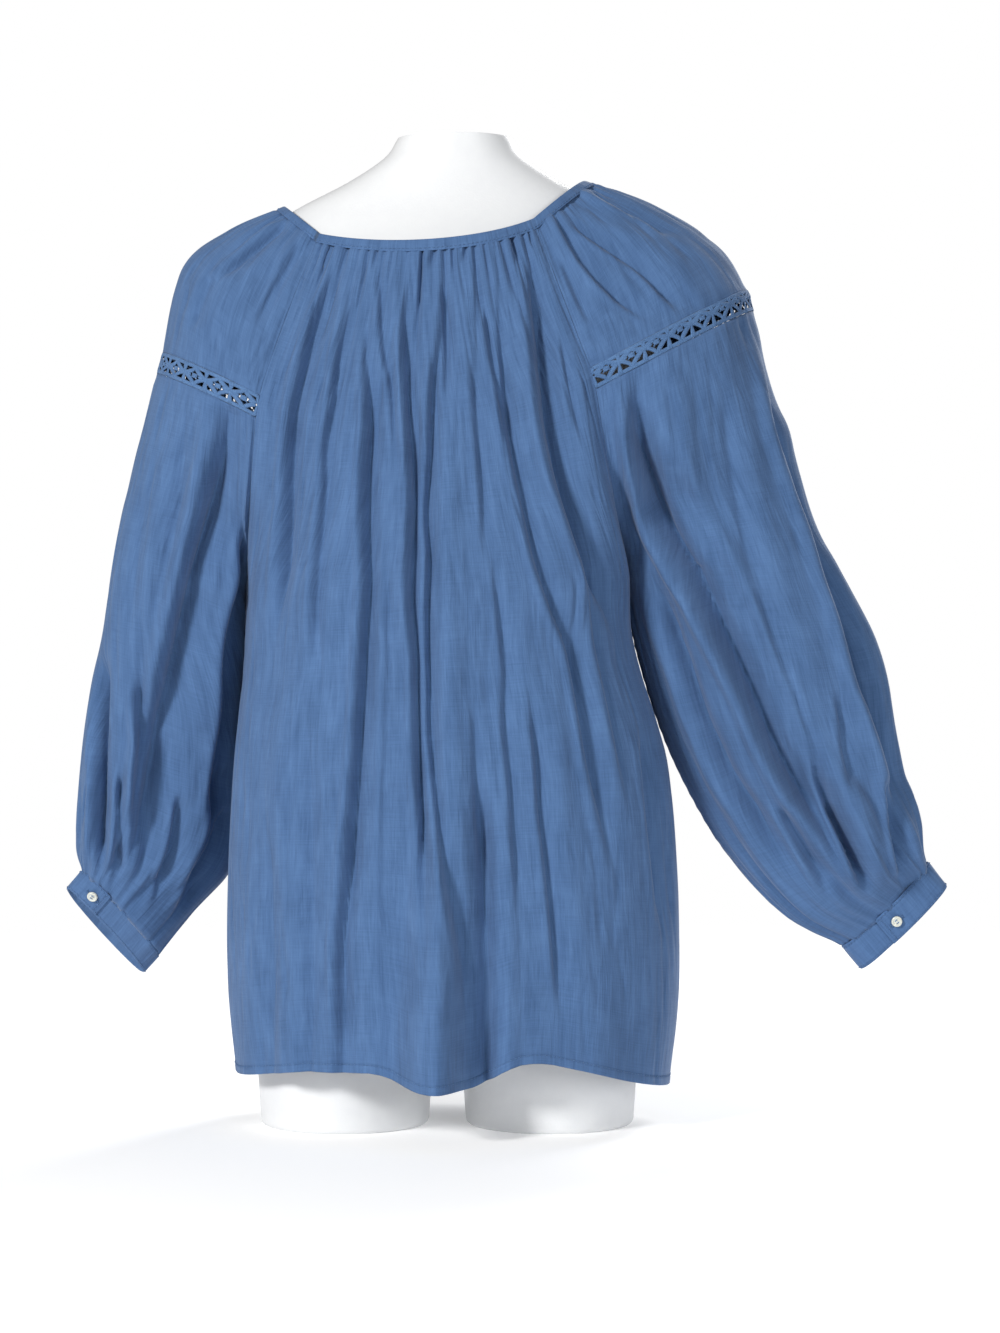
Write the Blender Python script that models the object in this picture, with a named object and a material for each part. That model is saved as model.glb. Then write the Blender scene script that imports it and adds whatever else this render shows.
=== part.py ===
"""Peasant blouse on a dress form.

A raglan blouse of thin crinkled cotton, gathered into a narrow neck binding, with a lace
insertion across each sleeve and full sleeves gathered into buttoned cuffs.  It hangs on a
plain torso form that stands on two cut-off thighs.  Metres, +Z up; the form faces -Y and
its left side is +X.
"""
import math

import bpy
import numpy as np
from mathutils import Matrix

CLOTH_WALL = 0.0012
LACE_WALL = 0.0010
BINDING_WALL = 0.0026
CUFF_WALL = 0.0016
SEAM_GAP = 0.0003
EDGE_PULL = 0.00025         # how far each raglan or side edge stays back from its seam line
NECK_STATION = 0.06         # height of one station of cloth at the neck
LACE_STATION = 0.016        # height of the lace insertion's one station
FOLD_FADE = 0.16            # share of a row's half over which folds fade out at its seams
WRIST_FADE = 0.9            # stations over which a sleeve's folds fade out above its cuff

BINDING_END = 0.14          # the binding's lower edge, in stations below the neckline
LACE_TOP, LACE_END = 3, 4   # stations of the lace insertion's two edges
UNDERARM, HEM = 7, 12       # stations of the underarm point and of the hem or cuff seam

CUFF_SEAM = 0.0014          # between the sleeve's last ring and the cuff, along the arm
CUFF_OVERLAP = 0.55         # radians of cuff that lie under its buttoned end
CUFF_TUCK = CUFF_WALL + 0.0006
BUTTON_RADIUS = 0.0045
BUTTON_HEIGHT = 0.0024
BUTTON_HOLE_RADIUS = 0.00065
BUTTON_HOLE_OFFSET = 0.0012
BUTTON_LIFT = 0.0005        # keeps the flat back of a button clear of the round cuff
# Radius and height of the button's profile, as shares of the two sizes above.
BUTTON_PROFILE = ((0.88, 0.0), (1.0, 0.25), (1.0, 0.62), (0.88, 0.95), (0.72, 1.0), (0.52, 0.78))

BODY_COLUMNS = 26
SLEEVE_COLUMNS = 22
CUFF_COLUMNS = 28
BUTTON_COLUMNS = 20
DRILL_COLUMNS = 8
FORM_COLUMNS = 36

# A station is one row of cloth, from the neckline (0) to the underarm (7) and the hem (12).
# The middle of each body row: its place on the back, on the front, the row's half angle and how
# square its sides are (1 is an ellipse, less is fuller).
BODY_ROW = ("back_x", "back_y", "back_z", "front_x", "front_y", "front_z", "half_angle", "fullness")
BODY = (
    (0.017, 0.076, 0.7125, 0.010, -0.090, 0.684, 46, 1.00),
    (0.016, 0.092, 0.647, 0.006, -0.108, 0.632, 50, 1.00),
    (0.015, 0.102, 0.602, 0.002, -0.121, 0.594, 54, 1.00),
    (0.014, 0.106, 0.577, 0.001, -0.127, 0.570, 57, 1.00),
    (0.013, 0.108, 0.562, 0.001, -0.129, 0.556, 59, 0.98),
    (0.012, 0.113, 0.515, 0.002, -0.132, 0.512, 68, 0.90),
    (0.011, 0.117, 0.471, 0.004, -0.131, 0.470, 82, 0.78),
    (0.011, 0.120, 0.434, 0.006, -0.129, 0.434, 90, 0.69),
    (0.010, 0.122, 0.376, 0.006, -0.127, 0.376, 90, 0.70),
    (0.006, 0.125, 0.298, 0.005, -0.127, 0.298, 90, 0.74),
    (0.003, 0.130, 0.200, 0.003, -0.129, 0.200, 90, 0.78),
    (0.001, 0.135, 0.112, 0.001, -0.133, 0.112, 90, 0.82),
    (0.001, 0.139, 0.046, 0.001, -0.136, 0.042, 90, 0.84),
)
# The side seams below the underarm, from station 8 to the hem.
SIDE_ROW = ("left_x", "left_z", "right_x", "right_z")
SIDES = (
    (0.1725, 0.369, -0.1445, 0.384),
    (0.1800, 0.292, -0.1705, 0.300),
    (0.1845, 0.196, -0.1810, 0.199),
    (0.1850, 0.112, -0.1830, 0.110),
    (0.1795, 0.043, -0.1755, 0.032),
)
# Each sleeve row starts on the back seam, passes over the crown and ends on the front seam.
# Below the underarm the seams are one point, the tube's inner edge.
SLEEVE_ROW = ("back_x", "back_y", "front_x", "front_y", "seam_z", "crown_x", "crown_y", "crown_z",
              "depth_back", "depth_front", "half_angle")
LEFT_SLEEVE = (
    (0.1080, 0.047, 0.0950, -0.063, 0.7205, 0.1390, -0.004, 0.7490, 0.080, 0.082, 47),
    (0.1270, 0.064, 0.1130, -0.087, 0.6700, 0.1860, -0.004, 0.7290, 0.086, 0.092, 60),
    (0.1440, 0.077, 0.1280, -0.099, 0.6200, 0.2230, -0.004, 0.6980, 0.088, 0.098, 78),
    (0.1540, 0.082, 0.1360, -0.103, 0.5870, 0.2395, -0.004, 0.6290, 0.086, 0.098, 95),
    (0.1570, 0.082, 0.1390, -0.103, 0.5700, 0.2440, -0.004, 0.6120, 0.084, 0.097, 100),
    (0.1620, 0.069, 0.1490, -0.090, 0.5170, 0.2600, -0.003, 0.5500, 0.074, 0.090, 125),
    (0.1670, 0.037, 0.1620, -0.052, 0.4660, 0.2715, -0.001, 0.4980, 0.060, 0.074, 156),
    (0.1700, 0.000, 0.1700, 0.000, 0.4270, 0.2795, 0.004, 0.4550, 0.055, 0.071, 180),
    (0.1745, -0.032, 0.1745, -0.032, 0.3660, 0.2895, 0.008, 0.3860, 0.047, 0.068, 180),
    (0.1760, -0.066, 0.1760, -0.066, 0.2960, 0.2990, 0.006, 0.3180, 0.038, 0.062, 180),
    (0.1830, -0.084, 0.1830, -0.084, 0.2330, 0.3060, -0.002, 0.2610, 0.036, 0.055, 180),
    (0.2110, -0.080, 0.2110, -0.080, 0.1820, 0.3090, -0.012, 0.2230, 0.032, 0.042, 180),
    (0.2485, -0.060, 0.2485, -0.060, 0.1305, 0.3076, -0.020, 0.2045, 0.017, 0.019, 180),
)
RIGHT_SLEEVE = (
    (-0.0640, 0.056, -0.0720, -0.066, 0.7315, -0.1070, -0.004, 0.7700, 0.080, 0.084, 48),
    (-0.0845, 0.075, -0.0920, -0.089, 0.6740, -0.1660, -0.004, 0.7470, 0.088, 0.094, 62),
    (-0.1010, 0.086, -0.1080, -0.101, 0.6290, -0.2170, -0.004, 0.7160, 0.092, 0.099, 80),
    (-0.1090, 0.090, -0.1160, -0.105, 0.6080, -0.2400, -0.004, 0.6800, 0.092, 0.099, 95),
    (-0.1130, 0.090, -0.1200, -0.105, 0.5920, -0.2450, -0.004, 0.6630, 0.090, 0.098, 100),
    (-0.1235, 0.079, -0.1280, -0.090, 0.5310, -0.2730, -0.003, 0.5750, 0.082, 0.090, 125),
    (-0.1325, 0.044, -0.1345, -0.052, 0.4840, -0.2930, -0.002, 0.5080, 0.067, 0.074, 156),
    (-0.1390, 0.000, -0.1390, 0.000, 0.4450, -0.3116, 0.000, 0.4600, 0.067, 0.073, 180),
    (-0.1490, -0.004, -0.1490, -0.004, 0.3840, -0.3405, -0.004, 0.3940, 0.062, 0.067, 180),
    (-0.1775, -0.008, -0.1775, -0.008, 0.3000, -0.3610, -0.008, 0.3200, 0.056, 0.060, 180),
    (-0.2210, -0.014, -0.2210, -0.014, 0.2220, -0.3750, -0.012, 0.2620, 0.049, 0.052, 180),
    (-0.2700, -0.020, -0.2700, -0.020, 0.1680, -0.3835, -0.016, 0.2290, 0.038, 0.040, 180),
    (-0.3182, -0.024, -0.3182, -0.024, 0.1419, -0.3895, -0.020, 0.2116, 0.018, 0.020, 180),
)
# From the sleeve's last ring to the cuff's lower edge.
LEFT_CUFF_RUN = (0.0150, -0.013, -0.0165)
RIGHT_CUFF_RUN = (-0.0175, -0.002, -0.0205)
LEFT_BUTTON_ANGLE = 48      # round the cuff from its outer edge to the button, in degrees
RIGHT_BUTTON_ANGLE = 92

# The largest troughs and ridges of the body: x at the top, halfway and at the bottom, the
# heights that each runs between, its half width and how far it goes in (out if negative).
FOLD_ROW = ("top_x", "mid_x", "low_x", "top_z", "low_z", "half_width", "depth")
BACK_FOLDS = (
    (0.092, 0.124, 0.140, 0.715, 0.280, 0.018, 0.006),
    (0.078, 0.088, 0.104, 0.700, 0.220, 0.016, 0.006),
    (0.062, 0.068, 0.088, 0.690, 0.020, 0.020, 0.008),
    (0.036, 0.034, 0.022, 0.715, 0.240, 0.018, 0.008),
    (-0.033, -0.047, -0.060, 0.715, 0.380, 0.018, 0.006),
    (-0.036, -0.090, -0.140, 0.680, 0.330, 0.022, 0.008),
    (-0.060, -0.040, -0.046, 0.420, -0.080, 0.020, 0.008),
    (-0.006, -0.012, -0.026, 0.330, -0.060, 0.016, 0.010),
    (0.010, 0.008, 0.006, 0.300, -0.220, 0.034, -0.022),
    (-0.120, -0.124, -0.128, 0.300, -0.100, 0.022, 0.007),
)
FRONT_FOLDS = (
    (0.086, 0.110, 0.132, 0.700, 0.060, 0.020, 0.007),
    (0.050, 0.058, 0.066, 0.700, -0.060, 0.020, 0.009),
    (0.022, 0.020, 0.012, 0.690, 0.180, 0.018, 0.007),
    (-0.016, -0.022, -0.020, 0.690, -0.080, 0.022, 0.010),
    (-0.052, -0.066, -0.074, 0.700, 0.100, 0.020, 0.008),
    (-0.080, -0.104, -0.128, 0.700, -0.060, 0.020, 0.007),
    (0.034, 0.036, 0.038, 0.330, -0.200, 0.026, -0.012),
)
# The largest sleeve folds: place across the row (-1 front seam, 1 back seam) at the top and
# the bottom, the stations each runs between, its half width across the row and its depth.
SLEEVE_FOLD_ROW = ("top", "low", "first", "last", "half_width", "depth")
SLEEVE_FOLDS = (
    (0.62, 0.50, 4.6, 12.6, 0.10, 0.007),
    (0.30, 0.22, 5.5, 12.8, 0.09, 0.007),
    (0.02, -0.04, 6.5, 12.8, 0.08, 0.005),
    (-0.34, -0.28, 5.0, 12.8, 0.10, 0.007),
    (-0.66, -0.56, 5.6, 12.6, 0.10, 0.006),
)
# Lift of each hem over the straight line between the side seams, as (x, lift).
BACK_HEM_LIFT = (
    (-0.180, 0.000), (-0.141, 0.010), (-0.105, 0.020), (-0.070, 0.028), (-0.045, 0.025),
    (-0.024, 0.009), (0.016, 0.002), (0.036, 0.007), (0.056, 0.016), (0.120, 0.013), (0.180, 0.000),
)
FRONT_HEM_LIFT = (
    (-0.180, 0.000), (-0.110, 0.008), (-0.020, 0.010), (0.036, 0.003), (0.100, 0.008), (0.180, 0.000),
)

# The dress form's rings: height, half width, depth behind and in front of its middle.
FORM_RING = ("z", "half_width", "back", "front")
FORM = (
    (0.060, 0.120, 0.062, 0.052),
    (0.066, 0.152, 0.088, 0.072),
    (0.085, 0.166, 0.104, 0.084),
    (0.140, 0.170, 0.112, 0.090),
    (0.200, 0.165, 0.106, 0.092),
    (0.280, 0.145, 0.085, 0.092),
    (0.370, 0.123, 0.070, 0.090),
    (0.460, 0.129, 0.078, 0.104),
    (0.530, 0.143, 0.084, 0.115),
    (0.600, 0.156, 0.084, 0.104),
    (0.655, 0.173, 0.080, 0.086),
    (0.695, 0.176, 0.069, 0.070),
    (0.725, 0.159, 0.055, 0.058),
    (0.746, 0.130, 0.046, 0.052),
    (0.768, 0.088, 0.041, 0.048),
    (0.788, 0.058, 0.040, 0.046),
    (0.804, 0.047, 0.040, 0.045),
)
FORM_LEAN = 0.006           # the hips stand this far to the left of the neck
FORM_SUBDIVISION = 2        # rings made between two rows of the table
THIGH_TOP = 0.100
THIGH_SPREAD = 0.0835       # from the form's middle to a thigh's axis
THIGH_RADIUS = (0.069, 0.074)
THIGH_TOP_GROWTH = 0.005
THIGH_SETBACK = 0.008

FINISHES = {
    "cotton": ((0.098, 0.185, 0.365), 0.90),
    "lace": ((0.110, 0.205, 0.385), 0.90),
    "pearl": ((0.780, 0.750, 0.680), 0.25),
    "plastic": ((0.860, 0.860, 0.850), 0.35),
}


def along(table, place):
    """The table's row at a place between its rows, on a smooth curve through them."""
    rows = np.asarray(table, float)
    place = min(max(place, 0.0), len(rows) - 1.0)
    i = min(int(place), len(rows) - 2)
    f = place - i
    before, here, after = rows[max(i - 1, 0)], rows[i], rows[i + 1]
    beyond = rows[min(i + 2, len(rows) - 1)]
    leave = (after - before) / (2 if i else 1)
    arrive = (beyond - here) / (2 if i + 2 < len(rows) else 1)
    f2, f3 = f * f, f * f * f
    return ((2 * f3 - 3 * f2 + 1) * here + (f3 - 2 * f2 + f) * leave
            + (3 * f2 - 2 * f3) * after + (f3 - f2) * arrive)


def read(row, names):
    return dict(zip(names, row))


def unit(vector):
    return vector / max(np.linalg.norm(vector), 1e-12)


def smooth(value, low, high):
    x = min(max((value - low) / (high - low), 0.0), 1.0)
    return x * x * (3 - 2 * x)


def arc(start, end, crown, half_angle, half_span, turns, fullness=1.0, full_turn=math.pi):
    """Points from start over the crown to end; half_span sets the arc's reach sideways.

    A row that closes into a ring further down has a full turn of pi.  It keeps the ring's
    angles in its middle, and makes up the difference near its ends.
    """
    middle, half_chord = (start + end) / 2, (start - end) / 2
    missing = full_turn - half_angle
    late = min(max(0.75 * full_turn / max(missing, 0.01) - 1, 0.0), 3.0)
    points = []
    for turn in turns:
        ending = turn * abs(turn) ** late
        angle = turn * full_turn - missing * ending
        side = half_span[0] if turn > 0 else half_span[1]
        rise = (math.cos(angle) - math.cos(half_angle)) / (1 - math.cos(half_angle))
        rise = max(rise, 0.0) ** fullness
        rest = (half_chord - side * math.sin(half_angle)) * ending
        points.append(middle + (crown - middle) * rise + side * math.sin(angle) + rest)
    return np.array(points)


def across(count):
    """Places across a row, from its start (1) to its end (-1)."""
    return np.linspace(1.0, -1.0, count + 1)


def side_edges(station):
    """The left and right edge points of a body row, on the back and on the front."""
    if station <= UNDERARM:
        left = read(along(LEFT_SLEEVE[:UNDERARM + 1], station), SLEEVE_ROW)
        right = read(along(RIGHT_SLEEVE[:UNDERARM + 1], station), SLEEVE_ROW)
        return [[np.array([side[face + "_x"], side[face + "_y"], side["seam_z"]])
                 for side in (left, right)] for face in ("back", "front")]
    top_left, top_right = LEFT_SLEEVE[UNDERARM], RIGHT_SLEEVE[UNDERARM]
    seams = ((top_left[0], top_left[4], top_right[0], top_right[4]),) + SIDES
    seam = read(along(seams, station - UNDERARM), SIDE_ROW)
    edges = [np.array([seam["left_x"], 0.0, seam["left_z"]]),
             np.array([seam["right_x"], 0.0, seam["right_z"]])]
    return [edges, edges]


def body_row(station, face, turns):
    """One row of the back, from left to right, or of the front, from right to left."""
    row = read(along(BODY, station), BODY_ROW)
    left, right = side_edges(station)[0 if face == "back" else 1]
    start, end = (left, right) if face == "back" else (right, left)
    crown = np.array([row[face + "_x"], row[face + "_y"], row[face + "_z"]])
    angle = math.radians(row["half_angle"])
    span = (start - end) / 2 / math.sin(angle)
    points = arc(start, end, crown, angle, (span, span), turns, row["fullness"], angle)
    low = smooth(station, UNDERARM + 2, HEM)
    lifts = np.array(BACK_HEM_LIFT if face == "back" else FRONT_HEM_LIFT)
    line = start[2] + (end[2] - start[2]) * (points[:, 0] - start[0]) / (end[0] - start[0])
    hem = line + np.interp(points[:, 0], lifts[:, 0], lifts[:, 1])
    points[:, 2] += low * (hem - points[:, 2])
    return points


def sleeve_shape(table, station):
    row = read(along(table, station), SLEEVE_ROW)
    back = np.array([row["back_x"], row["back_y"], row["seam_z"]])
    front = np.array([row["front_x"], row["front_y"], row["seam_z"]])
    crown = np.array([row["crown_x"], row["crown_y"], row["crown_z"]])
    return row, back, front, crown


def sleeve_depth(table, station):
    """Unit vector from the sleeve's middle plane to its back side."""
    level = np.array([0.0, 1.0, 0.0])
    if station <= UNDERARM:
        return level
    step = 0.05
    ends = []
    for place in (station - step, min(station + step, HEM)):
        _, back, _, crown = sleeve_shape(table, place)
        ends.append((back + crown) / 2)
    _, back, _, crown = sleeve_shape(table, station)
    turned = unit(np.cross(ends[1] - ends[0], crown - back))
    if turned[1] < 0:
        turned = -turned
    blend = smooth(station, UNDERARM, UNDERARM + 1.5)
    return unit(level * (1 - blend) + turned * blend)


def sleeve_row(side, station, turns):
    """One row of a sleeve: the right one from back to front, the left from front to back."""
    table = LEFT_SLEEVE if side == "left" else RIGHT_SLEEVE
    row, back, front, crown = sleeve_shape(table, station)
    if station >= UNDERARM:
        front = back
    depth = sleeve_depth(table, station)
    span_back, span_front = depth * row["depth_back"], depth * row["depth_front"]
    angle = math.radians(min(row["half_angle"], 180.0))
    if side == "right":
        return arc(back, front, crown, angle, (span_back, span_front), turns)
    return arc(front, back, crown, angle, (-span_front, -span_back), turns)


def normals_of(grid):
    """Outward unit normals of a grid of points, rows down and columns round."""
    down = np.gradient(grid, axis=0)
    round_ = np.gradient(grid, axis=1)
    normal = np.cross(down, round_)
    return normal / np.maximum(np.linalg.norm(normal, axis=2, keepdims=True), 1e-12)


def hump(distance):
    """A soft bell, 1 at 0 and nothing beyond 1."""
    inside = np.clip(1 - distance * distance, 0, 1)
    return inside * inside


def fold_body(grid, face, stations):
    """Press the body's largest folds into a grid, fading them out at the seams."""
    folds = BACK_FOLDS if face == "back" else FRONT_FOLDS
    x, z = grid[:, :, 0], grid[:, :, 2]
    shift = np.zeros(x.shape)
    for fold in folds:
        f = read(fold, FOLD_ROW)
        run = np.clip((f["top_z"] - z) / (f["top_z"] - f["low_z"]), 0, 1)
        centre = np.where(run < 0.5, f["top_x"] + (f["mid_x"] - f["top_x"]) * run * 2,
                          f["mid_x"] + (f["low_x"] - f["mid_x"]) * (run * 2 - 1))
        width = f["half_width"] * (0.55 + 0.75 * run)
        shift -= f["depth"] * np.sin(np.pi * run) ** 0.7 * hump((x - centre) / width)
    turn = np.abs(across(grid.shape[1] - 1))
    shift *= np.clip((1 - turn) / FOLD_FADE, 0, 1)[None, :]
    shift *= np.array([smooth(s, BINDING_END, 1.0) for s in stations])[:, None]
    return grid + normals_of(grid) * shift[:, :, None]


def fold_sleeve(grid, side, stations):
    """Press a sleeve's largest folds into a grid, fading them out towards its seams."""
    turns = across(grid.shape[1] - 1) * (1 if side == "right" else -1)
    shift = np.zeros(grid.shape[:2])
    for fold in SLEEVE_FOLDS:
        f = read(fold, SLEEVE_FOLD_ROW)
        for i, station in enumerate(stations):
            run = min(max((station - f["first"]) / (f["last"] - f["first"]), 0.0), 1.0)
            centre = f["top"] + (f["low"] - f["top"]) * run
            rise = math.sin(math.pi * run) ** 0.8
            shift[i] -= f["depth"] * rise * hump((turns - centre) / f["half_width"])
    shift *= np.array([1 - smooth(s, HEM - WRIST_FADE, HEM) for s in stations])[:, None]
    return grid + normals_of(grid) * shift[:, :, None]


def body_grid(face, stations, columns=BODY_COLUMNS):
    grid = np.array([body_row(s, face, across(columns)) for s in stations])
    grid = fold_body(grid, face, stations)
    for edge, inner in ((0, 1), (-1, -2)):
        toward = grid[:, inner] - grid[:, edge]
        grid[:, edge] += EDGE_PULL * toward / np.linalg.norm(toward, axis=1, keepdims=True)
    return grid


def sleeve_grid(side, stations, columns=SLEEVE_COLUMNS):
    grid = np.array([sleeve_row(side, s, across(columns)) for s in stations])
    grid = fold_sleeve(grid, side, stations)
    table = LEFT_SLEEVE if side == "left" else RIGHT_SLEEVE
    for i, station in enumerate(stations):
        if station <= UNDERARM:
            crown = sleeve_shape(table, station)[3]
            for edge in (0, -1):
                grid[i, edge] += EDGE_PULL * unit(crown - grid[i, edge])
    return grid


def stations_between(first, last, steps):
    return list(np.linspace(first, last, steps + 1))


def finish_object(mesh, name, finish, smooth_shade=True):
    if smooth_shade:
        mesh.shade_smooth()
    item = bpy.data.objects.new(name, mesh)
    bpy.context.scene.collection.objects.link(item)
    colour, roughness = FINISHES[finish]
    material = bpy.data.materials.new(name)
    material.use_nodes = True
    shader = material.node_tree.nodes["Principled BSDF"]
    shader.inputs["Base Color"].default_value = (*colour, 1.0)
    shader.inputs["Roughness"].default_value = roughness
    shader.inputs["Metallic"].default_value = 0.0
    mesh.materials.append(material)
    return item


def grid_mesh(name, grid, closed_rows=()):
    """A mesh over a grid; the rows in closed_rows end on the point they start from."""
    rows, columns = grid.shape[:2]
    points, index = [], np.zeros((rows, columns), int)
    for i in range(rows):
        for j in range(columns):
            if j == columns - 1 and i in closed_rows:
                index[i, j] = index[i, 0]
                continue
            index[i, j] = len(points)
            points.append(tuple(grid[i, j]))
    faces = []
    for i in range(rows - 1):
        for j in range(columns - 1):
            corners = [index[i, j], index[i + 1, j], index[i + 1, j + 1], index[i, j + 1]]
            faces.append(list(dict.fromkeys(corners)))
    mesh = bpy.data.meshes.new(name)
    mesh.from_pydata(points, [], faces)
    mesh.update()
    return mesh


def cloth(name, grid, wall, finish="cotton", closed_rows=(), offset=-1.0):
    """A panel: a grid of points with a wall on its inner side."""
    item = finish_object(grid_mesh(name, grid, closed_rows), name, finish)
    solid = item.modifiers.new("Wall", 'SOLIDIFY')
    solid.thickness = wall
    solid.offset = offset
    solid.use_rim = True
    return item


def add_body():
    gap = SEAM_GAP / NECK_STATION
    stations = (stations_between(BINDING_END + gap, 1, 2) + stations_between(1, UNDERARM, 7)[1:]
                + stations_between(UNDERARM, HEM, 10)[1:])
    for face in ("back", "front"):
        cloth(face, body_grid(face, stations), CLOTH_WALL)


def add_sleeve(side):
    """The sleeve's top, its lace insertion and the sleeve below it, each half a gap apart."""
    top_gap = SEAM_GAP / NECK_STATION
    lace_gap = SEAM_GAP / LACE_STATION / 2
    pieces = (
        ("sleeve_top_", BINDING_END + top_gap, LACE_TOP - lace_gap, 5, CLOTH_WALL, "cotton"),
        ("lace_", LACE_TOP + lace_gap, LACE_END - lace_gap, 1, LACE_WALL, "lace"),
    )
    for prefix, first, last, steps, wall, finish in pieces:
        cloth(prefix + side, sleeve_grid(side, stations_between(first, last, steps)), wall, finish)
    stations = (stations_between(LACE_END + lace_gap, UNDERARM, 5)
                + stations_between(UNDERARM, HEM, 10)[1:])
    closed = [i for i, station in enumerate(stations) if station >= UNDERARM]
    cloth("sleeve_" + side, sleeve_grid(side, stations), CLOTH_WALL, closed_rows=closed)


def add_neck_binding():
    rows = []
    for station in (0.0, BINDING_END):
        rows.append(np.concatenate([body_row(station, "back", across(18))[:-1],
                                    sleeve_row("right", station, across(10))[:-1],
                                    body_row(station, "front", across(18))[:-1],
                                    sleeve_row("left", station, across(10))]))
    cloth("neck_binding", np.array(rows), BINDING_WALL, closed_rows=(0, 1), offset=-0.6)


def cuff_frame(side):
    """The cuff's middle, its outward half axis, its depths and its run down the arm."""
    table = LEFT_SLEEVE if side == "left" else RIGHT_SLEEVE
    run = np.array(LEFT_CUFF_RUN if side == "left" else RIGHT_CUFF_RUN)
    row, inner, _, outer = sleeve_shape(table, HEM)
    return (inner + outer) / 2, (outer - inner) / 2, sleeve_depth(table, HEM), row, run


def cuff_point(side, angle, fall, tuck=0.0):
    """A point of the cuff: angle from its outer edge towards the back, fall from 0 to 1."""
    middle, half, depth, row, run = cuff_frame(side)
    reach = row["depth_back"] if math.sin(angle) > 0 else row["depth_front"]
    radial = half * math.cos(angle) + depth * reach * math.sin(angle)
    outward = unit(half / np.dot(half, half) * math.cos(angle) + depth / reach * math.sin(angle))
    lip = CUFF_SEAM / np.linalg.norm(run)
    return middle + run * (lip + fall * (1 - lip)) + radial - outward * tuck


def add_cuff(side):
    """A strip round the wrist whose first stretch is tucked under its buttoned end."""
    button = math.radians(LEFT_BUTTON_ANGLE if side == "left" else RIGHT_BUTTON_ANGLE)
    start, length = button - CUFF_OVERLAP / 2, 2 * math.pi + CUFF_OVERLAP
    rows = []
    for fall in (0.0, 0.5, 1.0):
        row = []
        for turn in np.linspace(0, length, CUFF_COLUMNS + 1):
            tuck = CUFF_TUCK * (1 - smooth(turn, CUFF_OVERLAP, CUFF_OVERLAP + 0.6))
            row.append(cuff_point(side, start + turn, fall, tuck))
        rows.append(row)
    grid = np.array(rows)
    if side == "right":
        grid = grid[:, ::-1]
    cloth("cuff_" + side, grid, CUFF_WALL)
    add_button(side, button)


def turned_mesh(name, rings, count, centre=(0.0, 0.0)):
    """A mesh turned about Z from (radius, height) rings, with a flat disc at each end."""
    points = []
    for radius, height in rings:
        for k in range(count):
            turn = 2 * math.pi * k / count
            points.append((centre[0] + radius * math.cos(turn),
                           centre[1] + radius * math.sin(turn), height))
    mesh = bpy.data.meshes.new(name)
    mesh.from_pydata(points, [], tube_faces(len(rings), count))
    return mesh


def tube_faces(rings, count):
    """Faces of a tube of rings with equal counts, closed by a cap at each end."""
    faces = [tuple(reversed(range(count)))]
    for i in range(rings - 1):
        for k in range(count):
            n = (k + 1) % count
            faces.append((i * count + k, i * count + n, (i + 1) * count + n, (i + 1) * count + k))
    faces.append(tuple(range((rings - 1) * count, rings * count)))
    return faces


def button_place(side, angle):
    """The matrix that lays a button on the cuff, its holes square to the arm."""
    centre = cuff_point(side, angle, 0.5)
    along_arm = unit(cuff_frame(side)[4])
    beside = cuff_point(side, angle + 0.05, 0.5) - cuff_point(side, angle - 0.05, 0.5)
    outward = unit(np.cross(along_arm, beside))
    if np.dot(outward, centre - cuff_frame(side)[0]) < 0:
        outward = -outward
    across_arm = np.cross(outward, along_arm)
    place = centre + outward * BUTTON_LIFT
    rows = [[along_arm[i], across_arm[i], outward[i], place[i]] for i in range(3)]
    return Matrix(rows + [[0, 0, 0, 1]])


def add_button(side, angle):
    """A turned shirt button with a dished face and four holes, flat on the cuff."""
    name = "button_" + side
    rings = [(r * BUTTON_RADIUS, h * BUTTON_HEIGHT) for r, h in BUTTON_PROFILE]
    button = finish_object(turned_mesh(name, rings, BUTTON_COLUMNS), name, "pearl",
                           smooth_shade=False)
    place = button_place(side, angle)
    button.matrix_world = place
    for across_hole in (-1, 1):
        for along_hole in (-1, 1):
            centre = (along_hole * BUTTON_HOLE_OFFSET, across_hole * BUTTON_HOLE_OFFSET)
            depth = ((BUTTON_HOLE_RADIUS, -BUTTON_HEIGHT), (BUTTON_HOLE_RADIUS, 2 * BUTTON_HEIGHT))
            drill = finish_object(turned_mesh("drill", depth, DRILL_COLUMNS, centre), "drill",
                                  "pearl", smooth_shade=False)
            drill.matrix_world = place
            drill.hide_render = True
            drill.display_type = 'WIRE'
            hole = button.modifiers.new("Hole", 'BOOLEAN')
            hole.operation = 'DIFFERENCE'
            hole.solver = 'EXACT'
            hole.object = drill


def ring_points(half_width, back, front, z, count, lean=0.0):
    points = []
    for k in range(count):
        turn = 2 * math.pi * k / count
        depth = back if math.sin(turn) > 0 else front
        points.append((lean + half_width * math.cos(turn), depth * math.sin(turn), z))
    return points


def closed_loft(name, rings):
    """A mesh skinned over rings of equal counts, capped flat at both ends."""
    mesh = bpy.data.meshes.new(name)
    points = [point for ring in rings for point in ring]
    mesh.from_pydata(points, [], tube_faces(len(rings), len(rings[0])))
    return mesh


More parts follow.
